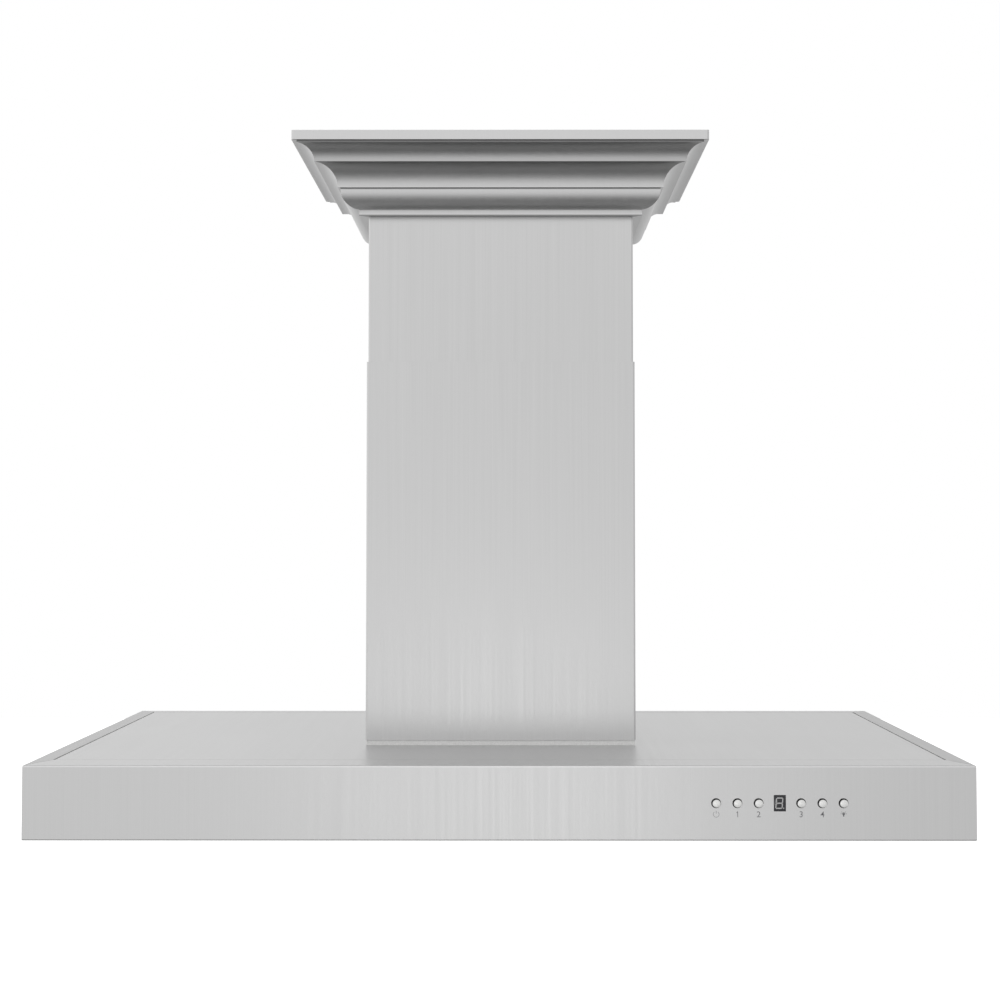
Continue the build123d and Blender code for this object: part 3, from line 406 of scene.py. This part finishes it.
def frosted_lens(name):
    """Milky lamp lens."""
    f = Finish(name)
    haze = f.add("ShaderNodeTexNoise", {}, {"Vector": f.place(), "Scale": 500.0})
    f.surface(Base_Color=f.tint((0.8, 0.81, 0.8, 1), (0.92, 0.92, 0.9, 1), haze),
              Roughness=(haze * 0.1 + 0.4).held(), Normal=f.bump(haze, 0.1))
    return f.material


def all_finishes(sizes):
    """One material for each of the record's slots."""
    steel = tuple(sizes.steel_colour)
    rough, depth = sizes.steel_roughness, sizes.grain_depth
    return {
        "brushed_stainless": brushed_steel("brushed_stainless", steel, rough, depth),
        "crown_stainless": crown_steel("crown_stainless", shade(steel, 1.07), rough + 0.12, depth),
        "filter_stainless": brushed_steel("filter_stainless", shade(steel, 1.05), rough * 0.8, depth),
        "galvanised": zinc_coated("galvanised"),
        "zinc_fastener": turned_metal("zinc_fastener", (0.66, 0.66, 0.64, 1), 0.3),
        "frame_steel": moulded("frame_steel", (0.16, 0.16, 0.165, 1), 0.5, 0.3),
        "lamp_rim": turned_metal("lamp_rim", (0.8, 0.8, 0.8, 1), 0.22),
        "lamp_lens": frosted_lens("lamp_lens"),
        "window": smoked_glass("window"),
        "board": circuit("board"),
        "black_plastic": moulded("black_plastic", (0.03, 0.03, 0.032, 1)),
        "white_plastic": moulded("white_plastic", (0.78, 0.78, 0.76, 1)),
        "rubber_seal": moulded("rubber_seal", (0.86, 0.86, 0.85, 1), 0.7),
        "button_steel": turned_metal("button_steel", (0.88, 0.88, 0.87, 1), 0.3),
        "motor_black": moulded("motor_black", (0.05, 0.05, 0.055, 1), 0.4, 0.3),
        "motor_core": moulded("motor_core", (0.25, 0.24, 0.23, 1), 0.5, 1.0),
        "bearing_steel": turned_metal("bearing_steel", (0.7, 0.7, 0.7, 1), 0.2),
        "cap_aluminium": turned_metal("cap_aluminium", (0.7, 0.7, 0.7, 1), 0.35),
    }


# ---- modelling helpers --------------------------------------------------------------------
def bare():
    """Object mode, with nothing selected."""
    if bpy.context.object and bpy.context.object.mode != "OBJECT":
        bpy.ops.object.mode_set(mode="OBJECT")
    bpy.ops.object.select_all(action="DESELECT")


def only(piece):
    """Selects one piece and makes it active."""
    bare()
    piece.select_set(True)
    bpy.context.view_layer.objects.active = piece
    return piece


def settle(piece):
    """Puts the piece's place into its mesh."""
    only(piece)
    bpy.ops.object.transform_apply(location=True, rotation=True, scale=True)
    return piece


def block(low, high):
    """A box between two corners."""
    bare()
    low, high = Vector(low), Vector(high)
    bpy.ops.mesh.primitive_cube_add(size=1, location=(low + high) / 2)
    piece = bpy.context.object
    piece.scale = high - low
    return settle(piece)


def drum(radius, start, length, axis, sides=48):
    """A cylinder that grows from its start along +Y or +Z."""
    bare()
    way = Vector((0, 1, 0)) if axis == "Y" else Vector((0, 0, 1))
    bpy.ops.mesh.primitive_cylinder_add(vertices=sides, radius=radius, depth=length,
                                        location=Vector(start) + way * length / 2)
    piece = bpy.context.object
    if axis == "Y":
        piece.rotation_euler = (radians(90), 0, 0)
    return settle(piece)


def pick_faces(piece, test):
    """Edit mode, with the faces selected whose middle and normal pass a test."""
    only(piece)
    bpy.ops.object.mode_set(mode="EDIT")
    bpy.ops.mesh.select_mode(type="FACE")
    bpy.ops.mesh.select_all(action="DESELECT")
    bpy.ops.object.mode_set(mode="OBJECT")
    for face in piece.data.polygons:
        face.select = bool(test(face.center, face.normal))
    bpy.ops.object.mode_set(mode="EDIT")


def pick_edges(piece, test):
    """Edit mode, with the edges selected whose two ends pass a test."""
    only(piece)
    bpy.ops.object.mode_set(mode="EDIT")
    bpy.ops.mesh.select_mode(type="EDGE")
    bpy.ops.mesh.select_all(action="DESELECT")
    bpy.ops.object.mode_set(mode="OBJECT")
    points = piece.data.vertices
    for edge in piece.data.edges:
        first, second = (points[i].co for i in edge.vertices)
        edge.select = bool(test(first, second))
    bpy.ops.object.mode_set(mode="EDIT")


def bevel(width, segments=3):
    bpy.ops.mesh.bevel(offset=width, segments=segments, affect="EDGES", clamp_overlap=True)


def move(x=0.0, y=0.0, z=0.0):
    bpy.ops.transform.translate(value=(x, y, z))


def joined(pieces):
    """One piece made of several."""
    bare()
    for piece in pieces:
        piece.select_set(True)
    bpy.context.view_layer.objects.active = pieces[0]
    if len(pieces) > 1:
        bpy.ops.object.join()
    return bpy.context.object


def copy_of(piece, x=0.0, y=0.0, z=0.0):
    """A copy with its own mesh, moved over."""
    only(piece)
    bpy.ops.object.duplicate(linked=False)
    twin = bpy.context.object
    twin.location = (x, y, z)
    return settle(twin)


def finished(piece, name, body, material, replaces=None):
    """Names a piece, smooths its rounds, gives it its finish and lets it ride on its body."""
    settle(piece)
    bpy.ops.object.shade_smooth_by_angle(angle=radians(32))
    piece.name = piece.data.name = name
    piece.data.materials.clear()
    piece.data.materials.append(material)
    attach(piece, body)
    if replaces:
        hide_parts(replaces)
    return piece


def finish_of(slot):
    return bpy.data.materials[slot]


# ---- operators ----------------------------------------------------------------------------
class HOOD_OT_finishes(bpy.types.Operator):
    """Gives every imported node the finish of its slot"""
    bl_idname = "hood.finishes"
    bl_label = "Finishes"

    def execute(self, context):
        finishes = all_finishes(context.scene.hood_finish)
        for part in frame["record"]["subparts"]:
            node = NODES[part["node"]]
            node.data.materials.clear()
            node.data.materials.append(finishes[part["material_slot"]])
        return {"FINISHED"}


class HOOD_OT_keys(bpy.types.Operator):
    """Makes the six keys: a domed metal cap on a black plunger"""
    bl_idname = "hood.keys"
    bl_label = "Keys"

    def execute(self, context):
        dome = context.scene.hood_sizes.key_dome
        for key in KEYS:
            low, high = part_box(key)
            spot = Vector((centre(key).x, low.y, centre(key).z))
            cap = self.cap(spot, dome)
            plunger = self.plunger(spot, high.y)
            material = turned_face("key_cap", (0.84, 0.84, 0.83, 1), 0.34, spot)
            finished(cap, key + "_cap", key, material, key)
            finished(plunger, key + "_plunger", key, finish_of("black_plastic"), key)
        return {"FINISHED"}

    def cap(self, spot, dome):
        """Rounded disc with a shallow dome of three steps."""
        dome_high = 1.35 * dome
        cap = drum(KEY_R, spot + Vector((KEY_PLAY, dome_high, -KEY_PLAY)), CAP_BACK - dome_high, "Y")
        pick_faces(cap, lambda middle, normal: normal.y < -0.9)
        bevel(CAP_ROUND, 4)
        pick_faces(cap, lambda middle, normal: normal.y < -0.99)
        for step in range(DOME_STEPS):
            bpy.ops.mesh.inset(thickness=DOME_STEP_IN)
            move(y=-dome / (step + 1.5))
        return cap

    def plunger(self, spot, back):
        """Black shaft and collar behind the cap."""
        neck = drum(KEY_NECK_R, spot + Vector((0, NECK_START, 0)), NECK_LONG, "Y")
        collar = drum(KEY_COLLAR_R, spot + Vector((0, COLLAR_START, 0)), COLLAR_THICK, "Y", 32)
        pick_faces(collar, lambda middle, normal: abs(normal.y) > 0.9)
        bevel(0.2 * MM, 2)
        stem = drum(KEY_STEM_R, spot + Vector((0, STEM_START, 0)), back - spot.y - STEM_START, "Y", 32)
        pick_faces(stem, lambda middle, normal: normal.y > 0.9)
        bevel(0.4 * MM, 2)
        return joined([neck, collar, stem])


class HOOD_OT_display(bpy.types.Operator):
    """Makes the display window with its seven-segment figure"""
    bl_idname = "hood.display"
    bl_label = "Display"

    def execute(self, context):
        sizes = context.scene.hood_sizes
        pane = block((WINDOW_LOW.x + PANE_IN, FRONT_Y + PANE_FRONT, WINDOW_LOW.z + PANE_IN),
                     (WINDOW_HIGH.x - PANE_IN, FRONT_Y + PANE_BACK, WINDOW_HIGH.z - PANE_IN))
        pick_faces(pane, lambda middle, normal: normal.y < -0.9)
        bpy.ops.mesh.inset(thickness=0.35 * MM)
        move(y=-0.12 * MM)
        lip = block((WINDOW_LOW.x, FRONT_Y + LIP_FRONT, WINDOW_LOW.z),
                    (WINDOW_HIGH.x, WINDOW_HIGH.y, WINDOW_HIGH.z))
        pick_edges(lip, lambda a, b: abs((a - b).y) > 0.5 * MM)
        bevel(0.8 * MM, 3)
        finished(joined([pane, lip]), "display_pane", "canopy", finish_of("window"),
                 "display_window")
        lit = Finish("display_segment")
        haze = lit.add("ShaderNodeTexNoise", {}, {"Vector": lit.place(), "Scale": 900.0})
        grey = tuple(context.scene.hood_finish.digit_colour)
        lit.surface(Base_Color=lit.tint(shade(grey, 0.9), shade(grey, 1.12), haze), Roughness=0.4)
        finished(self.segments(sizes), "display_figure", "canopy", lit.material)
        return {"FINISHED"}

    def segments(self, sizes):
        """Seven slanted strokes and a point."""
        middle = centre("display_window")
        tall, wide, stroke = sizes.digit_height / 2, sizes.digit_height * 0.31, SEGMENT_W
        front, back = FRONT_Y + SEGMENT_FRONT, FRONT_Y + SEGMENT_BACK
        strokes = []
        for z in (-tall, 0, tall):
            strokes.append(((-wide + 0.6 * stroke, z), (wide - 0.6 * stroke, z)))
        for x in (-wide, wide):
            for low, high in ((-tall, 0), (0, tall)):
                strokes.append(((x, low + 0.6 * stroke), (x, high - 0.6 * stroke)))
        slant = tan(radians(5))
        pieces = []
        for (x0, z0), (x1, z1) in strokes:
            half = stroke / 2
            ends = 0 if z0 == z1 else 2
            side_x, side_z = (0, half) if ends == 0 else (half, 0)
            piece = block((min(x0, x1) - side_x, front, min(z0, z1) - side_z),
                          (max(x0, x1) + side_x, back, max(z0, z1) + side_z))
            pick_faces(piece, lambda m, n: abs(n[ends]) > 0.9)
            self.pointed(piece, ends, half)
            pieces.append(piece)
        point = drum(stroke * 0.55, (wide + 1.5 * MM, front, -tall + 0.1 * MM), back - front, "Y", 16)
        figure = joined(pieces + [point])
        for vertex in figure.data.vertices:
            vertex.co.x += slant * vertex.co.z + middle.x - 0.5 * MM
            vertex.co.z += middle.z
        return figure

    def pointed(self, piece, axis, half):
        """Narrows a stroke's two ends."""
        scale = [0.35, 1, 0.35]
        scale[axis] = 1
        bpy.ops.mesh.extrude_region_move()
        bpy.ops.object.mode_set(mode="OBJECT")
        middle = sum((v.co for v in piece.data.vertices), Vector()) / len(piece.data.vertices)
        for vertex in piece.data.vertices:
            if vertex.select:
                across = 2 - axis
                vertex.co[across] = middle[across] + (vertex.co[across] - middle[across]) * 0.3
                vertex.co[axis] += half * 0.8 * (1 if vertex.co[axis] > middle[axis] else -1)


def lettered(text, height, thickness, middle):
    """A figure as a thin solid on the front wall, centred on a point."""
    bare()
    bpy.ops.object.text_add(location=(0, 0, 0))
    label = bpy.context.object
    label.data.body = text
    label.data.align_x = "CENTER"
    label.data.size = height / 0.7
    label.data.extrude = thickness / 2
    label.data.offset = 0.02 * MM
    only(label)
    bpy.ops.object.convert(target="MESH")
    label = bpy.context.object
    points = [vertex.co for vertex in label.data.vertices]
    for axis in (0, 1):
        mean = (min(p[axis] for p in points) + max(p[axis] for p in points)) / 2
        for point in points:
            point[axis] -= mean
    label.rotation_euler = (radians(90), 0, 0)
    label.location = middle
    return settle(label)


def stroke_bar(spot, x0, z0, x1, z1, width, thickness):
    """A straight printed stroke between two points about a spot."""
    start, end = Vector((x0, z0)), Vector((x1, z1))
    run = end - start
    piece = block((-run.length / 2, -thickness / 2, -width / 2), (run.length / 2, thickness / 2, width / 2))
    pick_edges(piece, lambda a, b: abs((a - b).y) > thickness / 2)
    bevel(width * 0.3, 2)
    bpy.ops.object.mode_set(mode="OBJECT")
    piece.rotation_euler = (0, -run.angle_signed(Vector((1, 0))) if run.length else 0, 0)
    piece.location = spot + Vector(((x0 + x1) / 2, 0, (z0 + z1) / 2))
    return settle(piece)


def ring(spot, radius, width, thickness, gap_deg):
    """A printed ring with a gap at its top."""
    pieces = []
    count = 28
    for i in range(count):
        angle = gap_deg / 2 + (360 - gap_deg) * i / count
        after = gap_deg / 2 + (360 - gap_deg) * (i + 1) / count
        start, end = radians(angle), radians(after)
        pieces.append(stroke_bar(spot, radius * sin(start), radius * cos(start),
                                 radius * sin(end), radius * cos(end), width, thickness))
    return joined(pieces)


class HOOD_OT_legends(bpy.types.Operator):
    """Prints the figures and signs under the keys"""
    bl_idname = "hood.legends"
    bl_label = "Legends"

    def execute(self, context):
        sizes = context.scene.hood_sizes
        dark = tuple(context.scene.hood_finish.legend_colour)
        inks = {"strong": self.ink("legend_ink", dark), "faint": self.ink("faint_ink", shade(dark, 1.75))}
        h, t = sizes.legend_height, sizes.ink
        for key in KEYS:
            middle = centre(key)
            spot = Vector((middle.x, FRONT_Y - t / 2, middle.z - sizes.legend_drop))
            tone = "strong"
            if key == "power_button":
                tone = "faint"
                label = joined([ring(spot, 0.5 * h, 0.11 * h, t, 70),
                                stroke_bar(spot, 0, 0.12 * h, 0, 0.62 * h, 0.11 * h, t)])
            elif key == "light_button":
                label = self.lamp(spot, h, t)
            elif key == "speed_1_button":
                label = joined([stroke_bar(spot, 0.04 * h, -0.5 * h, 0.04 * h, 0.5 * h, 0.12 * h, t),
                                stroke_bar(spot, -0.17 * h, 0.24 * h, 0.04 * h, 0.46 * h, 0.1 * h, t)])
            else:
                label = lettered(key.split("_")[1], h, t, spot)
            finished(label, key.replace("button", "legend"), "canopy", inks[tone])
        return {"FINISHED"}

    def ink(self, name, colour):
        ink = Finish(name)
        noise = ink.add("ShaderNodeTexNoise", {}, {"Vector": ink.place(), "Scale": 2500.0})
        return ink.surface(Base_Color=ink.tint(colour, shade(colour, 1.5), noise), Roughness=0.6)

    def lamp(self, spot, h, t):
        """A small lamp: round bulb, short foot and four rays."""
        bulb = drum(0.25 * h, spot + Vector((0, -t / 2, 0.08 * h)), t, "Y", 24)
        pieces = [bulb, stroke_bar(spot, 0, -0.05 * h, 0, -0.42 * h, 0.2 * h, t)]
        for angle in (-90, -45, 45, 90):
            x, z = sin(radians(angle)), cos(radians(angle))
            pieces.append(stroke_bar(spot + Vector((0, 0, 0.08 * h)), 0.34 * h * x, 0.34 * h * z,
                                     0.52 * h * x, 0.52 * h * z, 0.1 * h, t))
        return joined(pieces)


class HOOD_OT_lamps(bpy.types.Operator):
    """Makes the four lamps: a stepped bright cup and a ribbed lens"""
    bl_idname = "hood.lamps"
    bl_label = "Lamps"

    def execute(self, context):
        low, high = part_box("light_housings")
        lens_low, lens_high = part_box("light_lenses")
        cups, lenses = [], []
        for sx in (-1, 1):
            for sy in (-1, 1):
                x, y = sx * (high.x - LAMP_RIM_R), sy * (high.y - LAMP_RIM_R)
                cups.append(self.cup(x, y, low.z, high.z))
                lenses.append(self.lens(x, y, lens_low.z, lens_high.z))
        finished(joined(cups), "lamp_cups", "canopy", finish_of("lamp_rim"), "light_housings")
        finished(joined(lenses), "lamp_lenses", "canopy", finish_of("lamp_lens"),
                 "light_lenses")
        return {"FINISHED"}

    def cup(self, x, y, low, high):
        """Turned from a disc: rim, seat for the lens, finned body above."""
        rim = drum(LAMP_RIM_R, (x, y, low), 1.5 * MM, "Z", 96)
        pick_faces(rim, lambda middle, normal: normal.z < -0.9)
        bevel(0.7 * MM, 3)
        pick_faces(rim, lambda middle, normal: normal.z < -0.99)
        bpy.ops.mesh.inset(thickness=2.6 * MM)
        bpy.ops.mesh.inset(thickness=0.6 * MM)
        move(z=0.5 * MM)
        bpy.ops.mesh.inset(thickness=1.6 * MM)
        bpy.ops.mesh.extrude_region_move(TRANSFORM_OT_translate={"value": (0, 0, 0.8 * MM)})
        pick_faces(rim, lambda middle, normal: normal.z > 0.9 and middle.z > low + 1.45 * MM)
        bpy.ops.mesh.inset(thickness=LAMP_RIM_R - LAMP_R)
        height = high - low - 1.5 * MM
        for share in (0.3, 0.12, 0.12, 0.12, 0.12, 0.22):
            bpy.ops.mesh.extrude_region_move(TRANSFORM_OT_translate={"value": (0, 0, height * share)})
            if share == 0.12:
                bpy.ops.transform.resize(value=(0.93, 0.93, 1))
                bpy.ops.mesh.extrude_region_move(TRANSFORM_OT_translate={"value": (0, 0, 0.0001 * MM)})
                bpy.ops.transform.resize(value=(1 / 0.93, 1 / 0.93, 1))
        return rim

    def lens(self, x, y, low, high):
        """A lens with rings pressed into its lower face."""
        lens = drum(LENS_R, (x, y, low), high - low, "Z", 96)
        pick_faces(lens, lambda middle, normal: normal.z < -0.9)
        bevel(0.6 * MM, 3)
        pick_faces(lens, lambda middle, normal: normal.z < -0.99)
        for turn in range(10):
            bpy.ops.mesh.inset(thickness=1.0 * MM)
            move(z=(0.28 if turn % 2 == 0 else -0.28) * MM)
        return lens


class HOOD_OT_filters(bpy.types.Operator):
    """Makes the three baffle filters: rounded frames with two layers of folded slats"""
    bl_idname = "hood.filters"
    bl_label = "Filters"

    def execute(self, context):
        for side in ("left", "middle", "right"):
            body = "filter_" + side
            finished(self.frame(side), f"filter_frame_{side}_formed", body,
                     finish_of("filter_stainless"), "filter_frame_" + side)
            finished(self.slats(side), f"filter_slats_{side}_formed", body,
                     finish_of("filter_stainless"), "filter_baffles_" + side)
        return {"FINISHED"}

    def frame(self, side):
        """A rail round the filter, with its window opened by bridging, and two tongues behind."""
        low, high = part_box("filter_frame_" + side)
        handle_y = centre("filter_handle_" + side).y
        rail = 2 * (handle_y - low.y)
        back = high.y - TONGUE_LONG
        body = block(low, (high.x, back, high.z))
        pick_faces(body, lambda middle, normal: abs(normal.z) > 0.9)
        bpy.ops.mesh.inset(thickness=rail)
        bpy.ops.mesh.bridge_edge_loops()
        pick_edges(body, lambda a, b: abs(a.z - b.z) < SAME or (a - b).z ** 2 > 1e-5)
        bevel(0.9 * MM, 3)
        bpy.ops.mesh.normals_make_consistent(inside=False)
        middle = (low.x + high.x) / 2
        pieces = [body]
        for sign in (-1, 1):
            x = middle + sign * TONGUE_X
            tongue = block((x - TONGUE_W / 2, back - 1 * MM, low.z + 0.2 * MM),
                           (x + TONGUE_W / 2, high.y, low.z + 0.2 * MM + TONGUE_THICK))
            pick_edges(tongue, lambda a, b: abs((a - b).z) > 0.5 * MM and a.y > back)
            bevel(TONGUE_CORNER_R, 4)
            pieces.append(tongue)
        return joined(pieces)

    def slats(self, side):
        """Folded channels: one is made for each layer, and the others are copies."""
        low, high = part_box("filter_baffles_" + side)
        middle = (low.x + high.x) / 2
        lower = self.slat(low, high, low.z, 1)
        upper = self.slat(low, high, high.z, -1)
        pieces = [copy_of(lower, x=middle + i * SLAT_PITCH) for i in range(-3, 4)]
        pieces += [copy_of(upper, x=middle + (i + 0.5) * SLAT_PITCH) for i in range(-3, 3)]
        for pattern in (lower, upper):
            only(pattern)
            bpy.ops.object.delete()
        return joined(pieces)

    def slat(self, low, high, z, way):
        """One channel about x = 0 whose web is at z and whose legs point up or down."""
        leg = SLAT_LEG * way
        z0, z1 = min(z, z + leg), max(z, z + leg)
        channel = block((-SLAT_W / 2, low.y, z0), (SLAT_W / 2, high.y, z1))
        pick_faces(channel, lambda middle, normal: normal.z * way > 0.9 or abs(normal.y) > 0.9)
        bpy.ops.mesh.delete(type="FACE")
        pick_edges(channel, lambda a, b: (abs(a.y - b.y) > 0.1 and abs(a.z - z) < SAME
                                          and abs(b.z - z) < SAME))
        bevel(SLAT_BEND, 3)
        bpy.ops.object.mode_set(mode="OBJECT")
        only(channel)
        wall = channel.modifiers.new("sheet", "SOLIDIFY")
        wall.thickness = SLAT_SHEET
        wall.offset = -1
        bpy.ops.object.modifier_apply(modifier=wall.name)
        return channel


# soft boxes: name, place, what it faces, width, height and watts
SOFT_BOXES = (("front_fill", (0.0, -4.2, -1.15), (0, -0.3, -0.66), 0.8, 0.6, 2.0),
              ("edge_light", (0.0, -2.8, 1.3), (0, -0.3, -0.62), 2.4, 1.0, 3.5),
              ("crown_fill_left", (-2.6, 0.3, -1.9), (-0.2, 0, -0.05), 1.8, 1.4, 14.0),
              ("crown_fill_right", (2.6, 0.3, -1.9), (0.2, 0, -0.05), 1.8, 1.4, 14.0))
FLOOR_SIZE, FLOOR_GLOW = 40, 0.85
# brightness of the room at its left and right, against its middle
LEFT_BRIGHT, RIGHT_BRIGHT = 1.2, 0.78
# brightness of the room by the height of a direction
BELT = ((-1.0, 0.06), (-0.8, 0.14), (-0.55, 0.44), (-0.25, 0.8), (-0.05, 0.88),
        (0.1, 0.87), (0.45, 0.85), (0.8, 0.6), (1.0, 0.55))


class HOOD_OT_stage(bpy.types.Operator):
    """Sets the floor, lights and camera"""
    bl_idname = "hood.stage"
    bl_label = "Studio"

    def execute(self, context):
        studio = context.scene.hood_studio
        bare()
        bpy.ops.mesh.primitive_plane_add(size=FLOOR_SIZE, location=(0, 0, -studio.floor_drop))
        floor = bpy.context.object
        floor.name = "floor"
        pale = Finish("pale_floor")
        noise = pale.add("ShaderNodeTexNoise", {}, {"Vector": pale.place(), "Scale": 3.0})
        pale.surface(Base_Color=pale.tint((0.86, 0.86, 0.86, 1), (0.9, 0.9, 0.9, 1), noise), Roughness=0.9,
                     Emission_Color=(1, 1, 1, 1), Emission_Strength=FLOOR_GLOW)
        floor.data.materials.append(pale.material)
        floor.visible_glossy = False
        self.surroundings(context.scene)
        for box in SOFT_BOXES:
            self.softbox(*box)
        self.camera(context.scene, studio)
        context.scene.view_settings.view_transform = "Standard"
        return {"FINISHED"}

    def surroundings(self, scene):
        """White room: bright round its middle, dimmer above and darker below."""
        world = bpy.data.worlds.new("studio")
        scene.world = world
        world.use_nodes = True
        tree = world.node_tree
        back = tree.nodes["Background"]
        place = tree.nodes.new("ShaderNodeTexCoord")
        split = tree.nodes.new("ShaderNodeSeparateXYZ")
        ramp = tree.nodes.new("ShaderNodeValToRGB")
        ramp.color_ramp.interpolation = "EASE"
        while len(ramp.color_ramp.elements) < len(BELT):
            ramp.color_ramp.elements.new(1.0)
        for element, (height, grey) in zip(ramp.color_ramp.elements, BELT):
            element.position = (height + 1) / 2
            element.color = (grey, grey, grey, 1)
        remap = tree.nodes.new("ShaderNodeMapRange")
        remap.inputs["From Min"].default_value = -1.0
        side = tree.nodes.new("ShaderNodeMapRange")
        for key, value in (("From Min", -1.0), ("From Max", 1.0),
                           ("To Min", LEFT_BRIGHT), ("To Max", RIGHT_BRIGHT)):
            side.inputs[key].default_value = value
        strength = tree.nodes.new("ShaderNodeMath")
        strength.operation = "MULTIPLY"
        path = tree.nodes.new("ShaderNodeLightPath")
        mix = tree.nodes.new("ShaderNodeMix")
        mix.inputs[3].default_value = 1.0
        link = tree.links.new
        link(place.outputs["Generated"], split.inputs[0])
        link(split.outputs[2], remap.inputs[0])
        link(remap.outputs[0], ramp.inputs[0])
        link(split.outputs[0], side.inputs[0])
        link(ramp.outputs[0], strength.inputs[0])
        link(side.outputs[0], strength.inputs[1])
        link(path.outputs["Is Camera Ray"], mix.inputs[0])
        link(strength.outputs[0], mix.inputs[2])
        link(mix.outputs[0], back.inputs["Strength"])
        back.inputs["Color"].default_value = (1, 1, 1, 1)

    def softbox(self, name, place, aim, width, height, power):
        """A soft rectangular light aimed at a point."""
        bare()
        bpy.ops.object.light_add(type="AREA", location=place)
        lamp = bpy.context.object
        lamp.name = name
        lamp.data.shape = "RECTANGLE"
        lamp.data.size, lamp.data.size_y = width, height
        lamp.data.energy = power
        lamp.rotation_euler = (Vector(aim) - Vector(place)).to_track_quat("-Z", "Y").to_euler()
        return lamp

    def camera(self, scene, studio):
        bpy.ops.object.camera_add(location=tuple(studio.eye),
                                  rotation=(radians(90) + studio.tilt, 0, studio.turn))
        camera = bpy.context.object
        camera.data.lens = studio.lens
        camera.data.sensor_width = 36
        camera.data.shift_x, camera.data.shift_y = studio.shift
        camera.data.clip_start = 0.05
        scene.camera = camera


class HOOD_PT_panel(bpy.types.Panel):
    """Lists the steps in order"""
    bl_label = "Range hood"
    bl_space_type = "VIEW_3D"
    bl_region_type = "UI"
    bl_category = "Hood"

    def draw(self, context):
        for step in STEPS:
            self.layout.operator(step.bl_idname)


STEPS = (HOOD_OT_finishes, HOOD_OT_keys, HOOD_OT_display, HOOD_OT_legends,
         HOOD_OT_lamps, HOOD_OT_filters, HOOD_OT_stage)
CLASSES = (HoodFinish, HoodSizes, HoodStudio) + STEPS + (HOOD_PT_panel,)


def register():
    for item in CLASSES:
        bpy.utils.register_class(item)
    bpy.types.Scene.hood_finish = bpy.props.PointerProperty(type=HoodFinish)
    bpy.types.Scene.hood_sizes = bpy.props.PointerProperty(type=HoodSizes)
    bpy.types.Scene.hood_studio = bpy.props.PointerProperty(type=HoodStudio)


def unregister():
    for name in ("hood_finish", "hood_sizes", "hood_studio"):
        delattr(bpy.types.Scene, name)
    for item in reversed(CLASSES):
        bpy.utils.unregister_class(item)


def main():
    register()
    bpy.ops.hood.finishes()
    bpy.ops.hood.keys()
    bpy.ops.hood.display()
    bpy.ops.hood.legends()
    bpy.ops.hood.lamps()
    bpy.ops.hood.filters()
    bpy.ops.hood.stage()


if __name__ == "__main__":
    main()
